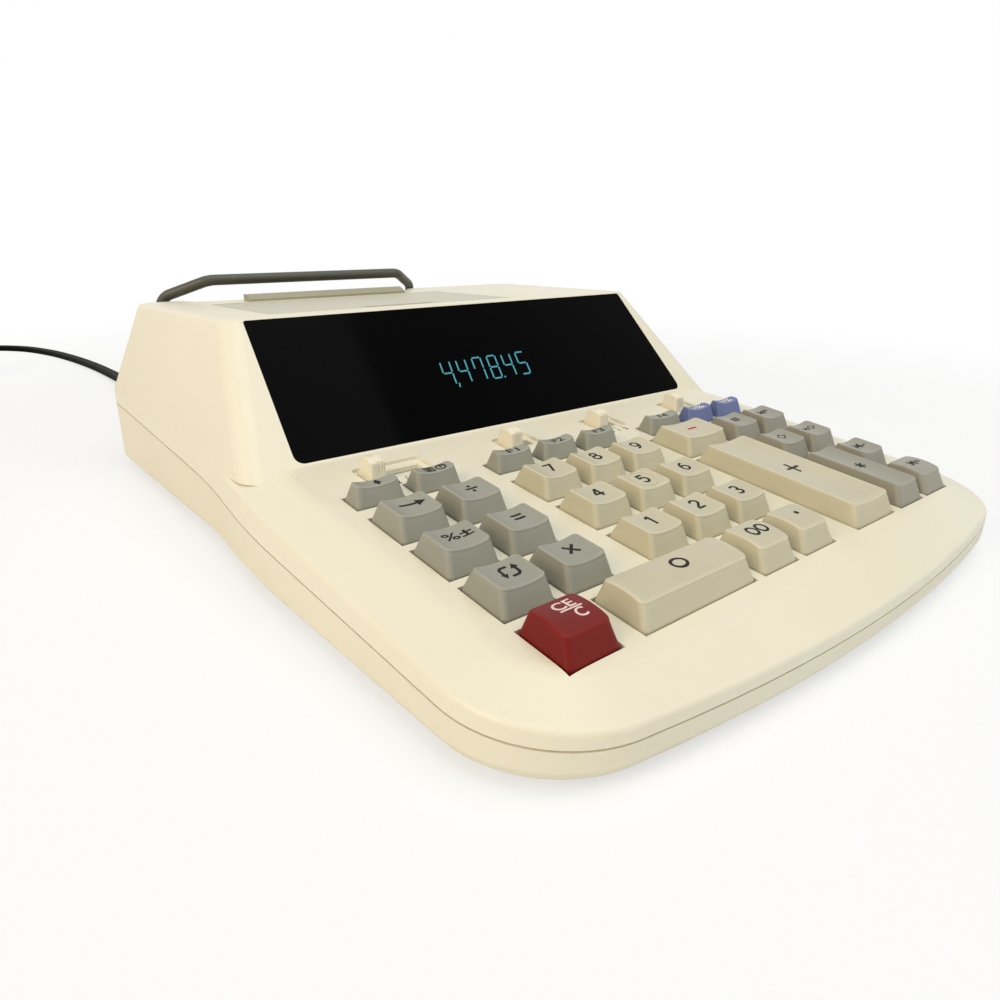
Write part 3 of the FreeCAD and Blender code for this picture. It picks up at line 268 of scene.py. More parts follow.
def letters(text, height, weight, width=None):
    """Corners and faces of flat lettering round its own middle, drawn out to a width where one is given."""
    curve = bpy.data.curves.new("lettering", "FONT")
    curve.body = text
    curve.offset = weight
    curve.extrude = 0.5
    curve.resolution_u = 4
    points, faces = evaluated(curve)
    points = points - (points.min(0) + points.max(0)) / 2
    reach = np.ptp(points, axis=0)
    scale = height / reach[1]
    return points * (width / reach[0] if width else scale, scale, 1.0), faces


def moved(part, x, y, scale=1.0):
    """A flat part drawn to a scale and then set off by x and y."""
    points, faces = part
    return points * (scale, scale, 1.0) + (x, y, 0.0), faces


def level(x, v):
    """A flat surface: n is nought at every x and v."""
    return np.zeros(len(x))


def printed(name, parts, surface, slope, proud, step=0.0008):
    """One closed mesh of flat marks laid over a surface: each point is raised to it along n.

    The parts are corners and faces with x, v and a height of their own sign, and surface gives n for
    x, v. Each part stands a fifth higher than the one before it, so that strokes which cross stay
    apart. Long faces are cut at every step across x and v, so that they follow the curve.
    """
    corners, faces, first = [], [], 0
    for number, (points, own_faces) in enumerate(parts):
        points = np.array(points, float)
        points[:, 2] = np.sign(points[:, 2]) * proud * (1 + 0.2 * number)
        corners.append(points)
        faces += [[first + index for index in face] for face in own_faces]
        first += len(points)
    corners = np.concatenate(corners)
    mesh = bpy.data.meshes.new(name)
    mesh.from_pydata(corners.tolist(), [], faces)
    build = bmesh.new()
    build.from_mesh(mesh)
    bmesh.ops.remove_doubles(build, verts=build.verts, dist=1e-7)
    for axis in (0, 1):
        normal = np.eye(3)[axis]
        for place in np.arange(corners[:, axis].min() + step / 2, corners[:, axis].max(), step):
            geometry = build.verts[:] + build.edges[:] + build.faces[:]
            bmesh.ops.bisect_plane(build, geom=geometry, plane_co=normal * place, plane_no=normal, dist=1e-7)
    bmesh.ops.recalc_face_normals(build, faces=build.faces)
    build.to_mesh(mesh)
    build.free()
    points = places(mesh)
    points[:, 2] += surface(points[:, 0], points[:, 1])
    mesh.vertices.foreach_set("co", slope.out(points).ravel())
    mesh.update()
    return mesh


# Shader maths


class Wire:
    """An output of a node. Signs between wires and numbers add the Math nodes that they stand for,
    and the sign for "or" takes the larger of two.
    """

    def __init__(self, finish, socket):
        self.finish, self.socket = finish, socket

    def maths(self, operation, *values):
        """A Math node of that operation on the values, in their order."""
        return self.finish.node("ShaderNodeMath", {"operation": operation}, dict(enumerate(values)))

    def __add__(self, other):
        return self.maths("ADD", self, other)

    def __sub__(self, other):
        return self.maths("SUBTRACT", self, other)

    def __rsub__(self, other):
        return self.maths("SUBTRACT", other, self)

    def __mul__(self, other):
        return self.maths("MULTIPLY", self, other)

    def __gt__(self, other):
        return self.maths("GREATER_THAN", self, other)

    def __or__(self, other):
        return self.maths("MAXIMUM", self, other)

    __radd__ = __add__
    __rmul__ = __mul__

    def rise(self, low, high):
        """Smooth step: 0 up to low, 1 from high."""
        ends = {0: self, 1: low, 2: high, 3: 0.0, 4: 1.0}
        return self.finish.node("ShaderNodeMapRange", {"interpolation_type": "SMOOTHSTEP"}, ends)


class Nodes:
    """A node tree under construction."""

    def __init__(self, tree):
        self.tree = tree

    def node(self, kind, options, inputs, output=0):
        """Adds one node: its settings first, then a value or a wire on each named or numbered socket."""
        node = self.tree.nodes.new(kind)
        for name, value in options.items():
            setattr(node, name, value)
        for name, value in inputs.items():
            if isinstance(value, Wire):
                self.tree.links.new(value.socket, node.inputs[name])
            else:
                node.inputs[name].default_value = value
        return Wire(self, node.outputs[output])


class Finish(Nodes):
    """A material under construction: its tree, its Principled shader and its place on the piece."""

    def __init__(self, name, **fixed):
        self.material = bpy.data.materials.new(name)
        self.material.use_nodes = True
        super().__init__(self.material.node_tree)
        self.shader = self.tree.nodes["Principled BSDF"]
        for socket, value in fixed.items():
            self.shader.inputs[socket.replace("_", " ")].default_value = value
        self.place = self.node("ShaderNodeTexCoord", {}, {}, "Object")

    def feed(self, socket, wire):
        """Joins a wire to one socket of the shader."""
        self.tree.links.new(wire.socket, self.shader.inputs[socket])

    def noise(self, size, detail=2.0, rough=0.5, stretch=(1.0, 1.0, 1.0)):
        """Noise from 0 to 1 with features of that size in metres, longer along a stretched axis."""
        scale = tuple(1.0 / (size * value) for value in stretch)
        place = self.node("ShaderNodeMapping", {}, {"Vector": self.place, "Scale": scale})
        return self.node(
            "ShaderNodeTexNoise", {}, {"Vector": place, "Scale": 1.0, "Detail": detail, "Roughness": rough})

    def axis(self, number):
        """One of the piece's own coordinates in metres: 0 for X, 1 for Y, 2 for Z."""
        return self.node("ShaderNodeSeparateXYZ", {}, {0: self.place}, number)

    def value(self, name):
        """A number stored on the mesh."""
        return self.node("ShaderNodeAttribute", {"attribute_name": name}, {}, "Fac")

    def mix(self, factor, first, second):
        """Colour between two colours or wires."""
        first, second = (c if isinstance(c, Wire) else (*c, 1.0) for c in (first, second))
        return self.node("ShaderNodeMix", {"data_type": "RGBA"}, {0: factor, 6: first, 7: second}, 2)

    def tone(self, factor, first, second):
        """Feeds the shader's Base Color with the colour between two."""
        self.feed("Base Color", self.mix(factor, first, second))

    def bump(self, height, depth):
        """Feeds the shader's Normal from a height, 1 of which stands for depth in metres."""
        sockets = {"Height": height, "Distance": depth, "Strength": 1.0}
        self.feed("Normal", self.node("ShaderNodeBump", {}, sockets))


def rgb(red, green, blue):
    """Scene colour of a screen colour from 0 to 255, by the standard screen curve."""
    channel = np.array([red, green, blue]) / 255.0
    linear = np.where(channel <= 0.04045, channel / 12.92, ((channel + 0.055) / 1.055) ** 2.4)
    return tuple(float(value) for value in linear)


def tinted(color, share):
    """A colour made lighter or darker by a share of itself."""
    return tuple(min(1.0, channel * (1.0 + share)) for channel in color)


def moulded_plastic(name, color, rough, grain=0.00045, depth=0.000012, drift=0.05, aged=(1.0, 0.99, 0.96)):
    """Moulded plastic: a fine spark-eroded grain, slow drift in tone, some yellowing and handling shine."""
    finish = Finish(name, Specular_IOR_Level=0.5)
    slow = finish.noise(0.09, 3.0)
    cloud = finish.noise(0.014, 2.0)
    fine = finish.noise(grain, 2.0, 0.6)
    aged_color = tuple(channel * share for channel, share in zip(color, aged))
    body = finish.mix(slow.rise(0.3, 0.75), tinted(color, drift / 2), tinted(aged_color, -drift / 2))
    specks = finish.noise(0.0011, 1.0).rise(0.735, 0.78) * finish.noise(0.02, 1.0).rise(0.45, 0.7)
    finish.tone(specks * 0.35, body, tinted(color, -0.35))
    finish.feed("Roughness", rough + 0.10 * (cloud - 0.5) + 0.06 * (fine - 0.5))
    finish.bump(fine, depth)
    return finish


def key_plastic(name, color, rough=0.42, shine=0.45):
    """Key plastic: satin grain on the walls, smoother and a little darker where fingers press, and a painted
    highlight on its rims.
    """
    finish = Finish(name, Specular_IOR_Level=shine)
    touch = finish.value("touch")
    fine = finish.noise(0.0004, 2.0, 0.6)
    slow = finish.noise(0.03, 2.0)
    body = finish.mix(slow.rise(0.3, 0.7), tinted(color, 0.03), tinted(color, -0.03))
    wear_and_highlight = finish.mix(touch * slow * 0.5, body, tinted(color, -0.07))
    # Painted highlight: the rims are made up to 30% lighter by the "rim" number on the mesh; the darker middle
    # where fingers press is wear.
    finish.tone(finish.value("rim") * (0.35 + slow * 0.5), wear_and_highlight, tinted(color, 0.3))
    finish.feed("Roughness", rough - touch * 0.09 + 0.12 * (fine - 0.5) + 0.08 * (slow - 0.5))
    finish.bump(fine * (1.0 - touch * 0.5), 0.00001)
    return finish


def ink(name, color):
    """Printing ink: dense, slightly uneven, with faint pinholes of the plastic's grain."""
    finish = Finish(name, Specular_IOR_Level=0.15)
    fine = finish.noise(0.00025, 2.0)
    finish.tone(fine.rise(0.35, 0.8), color, tinted(color, 0.35))
    finish.feed("Roughness", 0.4 + fine * 0.25)
    finish.bump(fine, 0.000004)
    return finish


def brushed_metal(name, color, rough, along=(12.0, 1.0, 1.0)):
    """Plated or brushed metal: fine scratches along one way and slow clouding of the plating."""
    finish = Finish(name, Metallic=1.0)
    scratch = finish.noise(0.0002, 3.0, 0.7, stretch=along)
    cloud = finish.noise(0.012, 3.0, 0.6)
    finish.tone(cloud.rise(0.3, 0.75), color, tinted(color, -0.12))
    finish.feed("Roughness", rough + 0.18 * (scratch - 0.5) + 0.15 * (cloud - 0.5))
    finish.bump(scratch, 0.000004)
    return finish


def soft_rubber(name, color, rough=0.62, rub=0.6, shine=0.35):
    """Rubber: matt, with a fine pebble, light rubbing marks and a little dust."""
    finish = Finish(name, Specular_IOR_Level=shine)
    pebble = finish.noise(0.0003, 2.0, 0.6)
    rubbed = finish.noise(0.006, 3.0, 0.6)
    finish.tone(rubbed.rise(0.45, 0.85), color, tinted(color, rub))
    finish.feed("Roughness", rough + 0.12 * (pebble - 0.5) + 0.16 * (rubbed - 0.5))
    finish.bump(pebble, 0.000012)
    return finish


# What a user may change


def distance(name, description, default, digits=4):
    """A length property in metres."""
    return bpy.props.FloatProperty(
        name=name, description=description, default=default, min=0.0, unit="LENGTH", precision=digits)


def screen_color(name, description, default):
    """A colour property, given as a screen colour."""
    return bpy.props.FloatVectorProperty(
        name=name, description=description, default=rgb(*default), subtype="COLOR", size=3, min=0.0, max=1.0)


def watts(name, description, default):
    """The power of a lamp in watts."""
    return bpy.props.FloatProperty(name=name, description=description, default=default, min=0.0, unit="POWER")


class CalculatorColors(bpy.types.PropertyGroup):
    """Colours of the mouldings, the keys and the marks."""

    case: screen_color("Case", "Ivory of the case, the printer cover and the paper guide", (235, 230, 210))
    number_keys: screen_color("Number keys", "Beige of the number, plus and minus keys", (199, 193, 168))
    function_keys: screen_color("Function keys", "Grey of the left keys and the short row", (151, 151, 139))
    memory_keys: screen_color("Memory keys", "Warm grey of the keys on the right", (150, 147, 134))
    percent_keys: screen_color("Percent keys", "Blue of the two short keys on the right", (98, 112, 160))
    clear_key: screen_color("Clear key", "Red of the key at the front left", (116, 19, 14))
    knobs: screen_color("Switch knobs", "Ivory of the four slide switches", (238, 232, 213))
    marks: screen_color("Marks", "Ink of the marks on the keys", (21, 20, 18))
    digits: screen_color("Digits", "Light of the display's digits", (42, 150, 166))
    tear_bar: screen_color("Tear bar", "Olive grey of the tear bar", (160, 157, 134))
    arm: screen_color("Paper arm", "Dark olive paint of the paper arm", (68, 69, 57))


class CalculatorKeys(bpy.types.PropertyGroup):
    """Form of the keys and size of their marks."""

    top_inset: distance("Side lean", "How far each side wall leans in from base to top", 0.00105, 5)
    top_depth: distance("Top depth", "Front to back size of a full key's top", 0.0108)
    short_top_depth: distance("Short top depth", "Front to back size of a short key's top", 0.0043)
    front_top_depth: distance("Front top depth", "Front to back size of the front row's tops", 0.0117)
    back: distance("Set back", "How far a key's top is set back from its base", 0.0005, 5)
    front_back: distance("Front set back", "How far the front row's tops are set back", 0.00105, 5)
    dish: distance("Dish", "Depth of the hollow in a key's top", 0.001)
    crown: distance("Crown", "Rise of the convex tops of the front row", 0.0008)
    edge: distance("Edge radius", "Rounding of the rim round a key's top", 0.00055, 5)
    corner: distance("Corner radius", "Rounding of the upright corners at a key's top", 0.0015)
    foot_corner: distance("Foot corner radius", "Rounding of the upright corners at a key's foot", 0.0015)
    digit_height: distance("Digit height", "Height of the middle line of the digits on the keys", 0.0042)
    digit_weight: distance("Digit weight", "Width of the digits' strokes", 0.00078, 5)
    proud: distance("Ink height", "How far printing stands above the plastic", 0.00003, 6)


class CalculatorCord(bpy.types.PropertyGroup):
    """Section and length of the mains lead."""

    width: distance("Width", "Width of the flat twin lead", 0.007)
    thickness: distance("Thickness", "Thickness of the flat twin lead", 0.0037)
    length: distance("Length", "Whole length of the lead from the case to the plug", 1.79)


class CalculatorStage(bpy.types.PropertyGroup):
    """Lamps and floor."""

    lamp_left: watts("Left lamp", "Power of the warm lamp on the left", 9.0)
    lamp_above: watts("Upper lamp", "Power of the neutral lamp above", 9.5)
    lamp_right: watts("Right lamp", "Power of the weak lamp on the right", 1.0)
    surround: bpy.props.FloatProperty(
        name="Surround", description="Share of even light from all round", default=0.32, min=0.0, max=1.0,
        subtype="FACTOR")
    floor: screen_color("Floor", "Colour of the table top", (250, 252, 255))


def settings(group):
    """One of the property groups on the scene."""
    return getattr(bpy.context.scene, "calculator_" + group)


# Camera and stage


class CALCULATOR_OT_camera(bpy.types.Operator):
    """Set the camera where the photograph was taken"""

    bl_idname = "calculator.camera"
    bl_label = "Camera"

    def execute(self, context):
        data = bpy.data.cameras.new("camera")
        data.lens, data.sensor_width = 27.138, 36.0
        data.clip_start, data.clip_end = 0.01, 100.0
        camera = bpy.data.objects.new("camera", data)
        place = Matrix.Translation((-0.17771, -0.20118, 0.10037))
        for degrees, axis in ((-40.370, "Z"), (90.0 - 20.818, "X"), (1.108, "Z")):
            place = place @ Matrix.Rotation(math.radians(degrees), 4, axis)
        camera.matrix_world = place
        context.scene.collection.objects.link(camera)
        context.scene.camera = camera
        return {"FINISHED"}


class CALCULATOR_OT_stage(bpy.types.Operator):
    """Lay the pale floor, hang the lamps and set the white surround"""

    bl_idname = "calculator.stage"
    bl_label = "Floor and light"

    def lamp(self, name, place, aim, size, power, tint):
        """Square area lamp at a place, turned to face its aim."""
        data = bpy.data.lights.new(name, "AREA")
        data.shape, data.size, data.energy, data.color = "SQUARE", size, power, tint
        lamp = bpy.data.objects.new(name, data)
        turn = (Vector(place) - Vector(aim)).to_track_quat("Z", "Y")
        lamp.matrix_world = Matrix.Translation(place) @ turn.to_matrix().to_4x4()
        bpy.context.scene.collection.objects.link(lamp)

    def execute(self, context):
        stage = settings("stage")
        context.scene.view_settings.view_transform = "Standard"
        floor_mesh = bpy.data.meshes.new("floor")
        reach = 12.0
        corners = [(-reach, -reach, 0), (reach, -reach, 0), (reach, reach, 0), (-reach, reach, 0)]
        floor_mesh.from_pydata(corners, [], [(0, 1, 2, 3)])
        finish = Finish("table_top", Specular_IOR_Level=0.2)
        fine = finish.noise(0.004, 2.0)
        finish.tone(fine, stage.floor, tinted(stage.floor, -0.01))
        finish.feed("Roughness", 0.45 + fine * 0.1)
        far = finish.node("ShaderNodeVectorMath", {"operation": "LENGTH"}, {0: finish.place}, "Value")
        seen = finish.node("ShaderNodeLightPath", {}, {}, "Is Camera Ray")
        white = finish.node("ShaderNodeEmission", {}, {"Color": (1.0, 1.0, 1.0, 1.0), "Strength": 1.0})
        both = finish.node("ShaderNodeMixShader", {}, {
            0: seen * (0.6 + far.rise(0.22, 0.6) * 0.4), 1: Wire(finish, finish.shader.outputs[0]), 2: white})
        finish.tree.links.new(both.socket, finish.tree.nodes["Material Output"].inputs["Surface"])
        floor_mesh.materials.append(finish.material)
        floor = bpy.data.objects.new("floor", floor_mesh)
        context.scene.collection.objects.link(floor)
        middle, front, warm, cool = (0.0, 0.0, 0.03), (0.0, -0.06, 0.0), (1.0, 0.8, 0.55), (0.95, 1.0, 0.98)
        self.lamp("lamp_left", (-1.25, -0.15, 0.75), middle, 0.8, stage.lamp_left, warm)
        self.lamp("lamp_above", (0.1, -0.42, 1.3), front, 1.2, stage.lamp_above, (0.97, 1.0, 0.96))
        self.lamp("lamp_right", (0.9, -0.9, 0.8), middle, 0.7, stage.lamp_right, cool)
        world = bpy.data.worlds.new("surround")
        context.scene.world = world
        world.use_nodes = True
        sky = Nodes(world.node_tree)
        direct, mirrored, through = (sky.node("ShaderNodeLightPath", {}, {}, kind) for kind in (
            "Is Camera Ray", "Is Glossy Ray", "Is Transmission Ray"))
        strength = stage.surround + (direct | mirrored | through) * (1.0 - stage.surround)
        background = sky.tree.nodes["Background"]
        background.inputs["Color"].default_value = (1.0, 1.0, 1.0, 1.0)
        sky.tree.links.new(strength.socket, background.inputs["Strength"])
        return {"FINISHED"}


# Mains lead, in millimetres

lead_exit = (-75, 138, 16)
lead_route = (
    lead_exit, (-75, 154, 16), (-75, 178, 15.2), (-70, 208, 11.6), (-65, 240, 6.8), (-62, 274, 3.2),
    (-61, 310, 1.95), (-63, 346, 1.95), (-67.5, 382, 1.95), (-75, 417, 1.95), (-88.5, 448, 1.95),
    (-114, 465, 1.95), (-147.5, 470, 1.95), (-181, 470, 1.95))
coil_x, coil_y, lead_height, plug_height, blade_root = -188.0, 470.0, 1.95, 11.15, -134.9
coil_radii = (48.6, 44.8, 41.0, 37.2, 33.4, 29.6, 33.4, 37.2, 41.0, 44.8, 48.6)
crossing = 5


def coil_points():
    """Control points of the put-away coil: half turns, left and right of its middle, each of its own radius.

    A half turn's points lie at its radius round its middle, at equal angles. They lie on the floor until
    the crossing, climb by one lead's thickness through it, and in the last half turn to the plug's middle.
    The climb goes with the square of the share of the half turn.
    """
    points, y, above = [], coil_y, lead_height + 3.85
    for number, radius in enumerate(coil_radii):
        way = -1 if number % 2 == 0 else 1
        share = (np.arange(10) + 0.5) / 10
        reach = way * 1.004 * radius
        low = lead_height if number <= crossing else above
        high = lead_height if number < crossing else above
        if number == len(coil_radii) - 1:
            high = plug_height
        points.append(np.stack([
            coil_x + reach * np.sin(share * np.pi), y + way * radius - reach * np.cos(share * np.pi),
            low + (high - low) * share ** 2], -1))
        y += way * 2 * radius
    return np.concatenate(points + [[(x, y, plug_height) for x in (-186.0, -181.0, -170.0)]])


def lead_surface(path, width, thick):
    """Flat twin lead: two round cores side by side with a shallow groove between them.

    Across, the section is the cosine of its angle times the core's radius, moved out to the core's
    middle; up, it is the sine times the radius, less a narrow bell at the middle.
    """
    angle = np.linspace(0, 2 * np.pi, 28, endpoint=False)
    core = thick / 2
    x = np.tanh(3.5 * np.cos(angle)) * (width / 2 - core) + core * np.cos(angle)
    y = core * np.sin(angle) * (1.0 - 0.22 * np.exp(-(x / (0.22 * core)) ** 2))
    mesh = swept("mains_lead", path, x[None], y[None])
    paint(mesh, "across", np.append(np.tile(x[::-1] / (width / 2), len(path)), (0.0, 0.0)))
    return mesh


def relief_surface():
    """Strain relief: rings along the lead whose radius steps over a collar and then tapers in ribs.

    The ring is round at the case and flattens to the lead's own section at the tip.
    """
    collar = np.array([0, 0.2, 0.4, 1.8, 2.0, 2.3, 3.0])
    along = np.concatenate([collar, np.linspace(3.5, 23.0, 60), [23.6, 23.9]])
    taper = np.clip((along - 3.0) / 20.5, 0, 1)
    r = np.where(along <= 2.0, 6.5, 5.4 - 1.1 * taper)
    r[0], r[1], r[4] = 5.9, 6.35, 6.3
    ribs = 0.42 * (0.5 - 0.5 * np.cos(2 * np.pi * (along - 4.5) / 3.1)) ** 3
    r = r - np.where((along > 4.5) & (along < 20.0), ribs, 0)
    r[-2:] = (4.1, 3.7)
    r, along, flat = r[:, None], along[:, None], 1.0 - 0.38 * taper[:, None]
    angle = np.linspace(0, 2 * np.pi, 40, endpoint=False)
    exit_x, exit_y, exit_z = lead_exit
    grid = np.stack([exit_x + r * np.cos(angle), exit_y - 6.1 + along + 0 * angle,
                     exit_z + r * flat * np.sin(angle)], -1) * MM
    return closed_surface("strain_relief", grid[:, ::-1])


class CALCULATOR_OT_cord(bpy.types.Operator):
    """Lay the mains lead with its strain relief, coil and plug"""

    bl_idname = "calculator.cord"
    bl_label = "Mains lead"

    def execute(self, context):
        cord = settings("cord")
        points = np.concatenate([lead_route, coil_points()]) * MM
        curve = bpy.data.curves.new("lead_route", "CURVE")
        curve.dimensions = "3D"
        curve.resolution_u = 8
        spline = curve.splines.new("NURBS")
        spline.points.add(len(points) - 1)
        spline.points.foreach_set("co", np.column_stack([points, np.ones(len(points))]).ravel())
        spline.order_u, spline.use_endpoint_u = 3, True
        path, _ = evaluated(curve)
        path = path[np.append(True, np.linalg.norm(np.diff(path, axis=0), axis=1) > 1e-6)]

        sheath = soft_rubber("lead_sheath", rgb(12, 12, 12), 0.5, 0.25, 0.03)
        # Painted highlight: a lighter grey line runs along the groove between the two cores.
        groove = sheath.value("across")
        middle = 1.0 - (groove * groove).rise(0.0, 0.02)
        sheath.tone(middle * 0.6, rgb(12, 12, 12), rgb(40, 39, 38))
        lead = add_piece("mains_lead", lead_surface(path, cord.width, cord.thickness), sheath.material,
                         "case", ("power_cord", "cord_coil"))
        boot = soft_rubber("relief_rubber", rgb(14, 14, 14), 0.6, 0.25, 0.04)
        relief = add_piece("strain_relief", relief_surface(), boot.material, "case")

        plug = moulded_plastic("plug_body", rgb(33, 32, 31), 0.5, depth=0.00002, aged=(1.0, 1.0, 1.0))
        blades = plug.axis(0) > blade_root * MM
        scratch = plug.noise(0.0002, 2.0, stretch=(1.0, 12.0, 1.0))
        plug.tone(blades, rgb(34, 33, 32), rgb(214, 190, 130))
        plug.feed("Metallic", blades)
        plug.feed("Roughness", 0.5 - blades * 0.2 + scratch * 0.1)
        dress("power_plug", plug)
        return {"FINISHED"}


def dress(node, finish):
    """Gives a node of the frame its material."""
    for slot in frame["nodes"][node].material_slots:
        slot.material = finish.material


# Keys

front_row = ("key_0", "key_00", "key_point", "key_clear", "key_memory_plus")
key_nodes = [node for node in frame["nodes"] if node.startswith("key_")]
full_depth, short_depth, short_limit = 0.0156, 0.0078, 0.005
full_height, short_height = 0.0062, 0.0056
flange = 0.0007
foot_heights = np.array([[-0.0032], [-0.003], [-0.0002]])


def key_kind(node):
    """Middle and half sizes of a key's base and top, its height, and how far its top is set back.

    The base is the node's reach less its hidden flange.
    """
    keys = settings("keys")
    low, high = deck.span(node)
    half = (high[:2] - low[:2]) / 2 - flange
    short, front = half[1] < short_limit, node in front_row
    depth = keys.short_top_depth if short else keys.front_top_depth if front else keys.top_depth
    top = half - np.array([keys.top_inset, ((short_depth if short else full_depth) - depth) / 2])
    height = short_height if short else full_height
    return deck.middle(node), half, top, height, keys.front_back if front else keys.back


def top_height(node):
    """Height of a key's top over the deck for x and v: a hollow across x, or a crown along v.

    Hollow: full height less dish times one minus the square of x over the half width. Crown: full
    height less crown times the square of v over the half depth.
    """
    keys = settings("keys")
    middle, _, top, height, back = key_kind(node)

    def rise(x, v):
        if node in front_row:
            return height - keys.crown * ((v - middle[1] - back) / top[1]) ** 2
        return height - keys.dish * (1.0 - np.minimum(1.0, ((x - middle[0]) / top[0]) ** 2))
    return rise


def key_surface(node):
    """A key: rings from the foot in the deck's hole up the leaning wall, over the rim and in to the middle.

    A ring's height is its share of the top's own height there, less its drop. Each point also gets how
    much fingers touch it, which grows inwards on the top, and how much painted highlight it takes,
    greatest on the rims and the upright corners near the top.
    """
    keys = settings("keys")
    middle, base, top, _, set_back = key_kind(node)
    wall = np.array([0.02, 0.08, 0.3, 0.55, 0.8, 0.94, 1.0])
    inward = np.array([0.97, 0.9, 0.78, 0.64, 0.5, 0.36, 0.22, 0.08])
    half, corner, share, drop, turn = cap_rings(
        base, top, keys.edge, (keys.foot_corner, keys.corner), wall, inward, 8)
    x, v = rounded_ring(half[:, 0], half[:, 1], corner, side=14)
    upright = np.minimum(np.abs(x) / half[:, :1], np.abs(v) / half[:, 1:])
    x, v = x + middle[0], v + middle[1] + set_back * share
    n = share * (top_height(node)(x, v) - drop)
    n[:3] = foot_heights
    mesh = closed_surface(node + "_cap", deck.out(np.stack([x, v, n], -1)))

    touch = np.zeros(x.shape)
    touch[-len(inward):] = (1.0 - inward[:, None]) ** 0.5
    paint(mesh, "touch", np.append(touch.ravel(), (0.0, 1.0)))
    # Painted highlight, stored as "rim": lighter along the rim round the top, the top of the walls and the upright
    # corners.
    upright[-len(inward):] = 0.0
    rim = np.sin(2 * turn) ** 2 * 0.7 + 0.3
    wear_and_highlight = np.concatenate([np.zeros(3), wall ** 8 * 0.5, rim, [0.25], np.zeros(len(inward) - 1)])[:, None]
    wear_and_highlight = np.maximum(wear_and_highlight, np.clip((upright - 0.88) / 0.1, 0, 1) * share * 0.6)
    paint(mesh, "rim", np.append(wear_and_highlight.ravel(), (0.0, 0.0)))
    return mesh


def locating_ring(node):
    """Raised ring on a key: a round section of small radius carried round a circle on the key's top."""
    middle = deck.middle(node)
    around = np.linspace(0, 2 * np.pi, 72, endpoint=False)
    section = np.linspace(0, 2 * np.pi, 10, endpoint=False)
    r = (4.2 + 0.24 * np.cos(section))[:, None] * MM
    x, v = middle[0] + 0.0005 + r * np.cos(around), middle[1] + 0.0011 + r * np.sin(around)
    n = top_height(node)(x, v) + (0.06 + 0.22 * np.sin(section))[:, None] * MM
    ring = loop_surface(node + "_ring", deck.out(np.stack([x, v, n], -1)))
    paint(ring, "touch", np.ones(x.size))
    # The ring takes the painted highlight of the rims all over.
    paint(ring, "rim", np.full(x.size, 0.8))
    return ring


# Marks on the keys, in millimetres round the middle of each


def digit_lines(digit):
    """Lines of a digit, 4.2 high: straight runs and stretches of ellipses."""
    six = [arc(0, -0.8, 1.3, 1.3), arc(1.0, -0.8, 2.3, 2.85, 90, 180)]
    return {
        "0": [arc(0, 0, 1.5, 1.75)],
        "1": [[(0.25, -2.1), (0.25, 2.1)], [(0.35, 2.1), (-1.0, 1.15)]],
        "2": [np.concatenate([arc(0, 0.9, 1.25, 1.2, 170, -35), [(-1.2, -1.75)]]),
              [(-1.5, -2.0), (1.45, -2.0)]],
        "3": [arc(-0.05, 1.03, 1.15, 1.07, 150, -90), arc(-0.05, -0.98, 1.3, 1.12, 90, -150)],
        "4": [[(0.6, -2.1), (0.6, 2.1)], [(0.5, 2.1), (-1.5, -0.8)], [(-1.8, -0.8), (1.6, -0.8)]],
        "5": [[(1.25, 2.0), (-1.15, 2.0)], [(-0.85, 2.0), (-1.1, 0.1)],
              arc(-0.05, -0.75, 1.35, 1.35, 140, -150)],
        "6": six,
        "7": [[(-1.4, 2.0), (1.7, 2.0)], [(1.35, 1.9), (-0.4, -2.1)]],
        "8": [arc(0, 1.08, 1.02, 0.98), arc(0, -0.95, 1.25, 1.15)],
        "9": [-line for line in six]}[digit]


def head(x, y, size, angle):
    """Filled arrowhead whose tip lies at x, y and points along an angle in degrees."""
    turns = np.radians([angle, angle + 120, angle + 240])
    corners = np.stack([np.cos(turns), np.sin(turns)], -1) * size
    return plate(corners - corners[0] + (x, y))


def bars(width, *lines):
    """Strokes of one width along several lines."""
    return [stroke(line, width) for line in lines]


def clear_mark():
    """CE over C, parted by a line."""
    return bars(0.45, [(-2.6, 0.1), (3.4, 0.1)]) + [
        moved(letters("CE", 2.9, 0.015, 5.6), -0.2, 2.0), moved(letters("C", 2.9, 0.015, 2.7), 1.3, -1.8)]


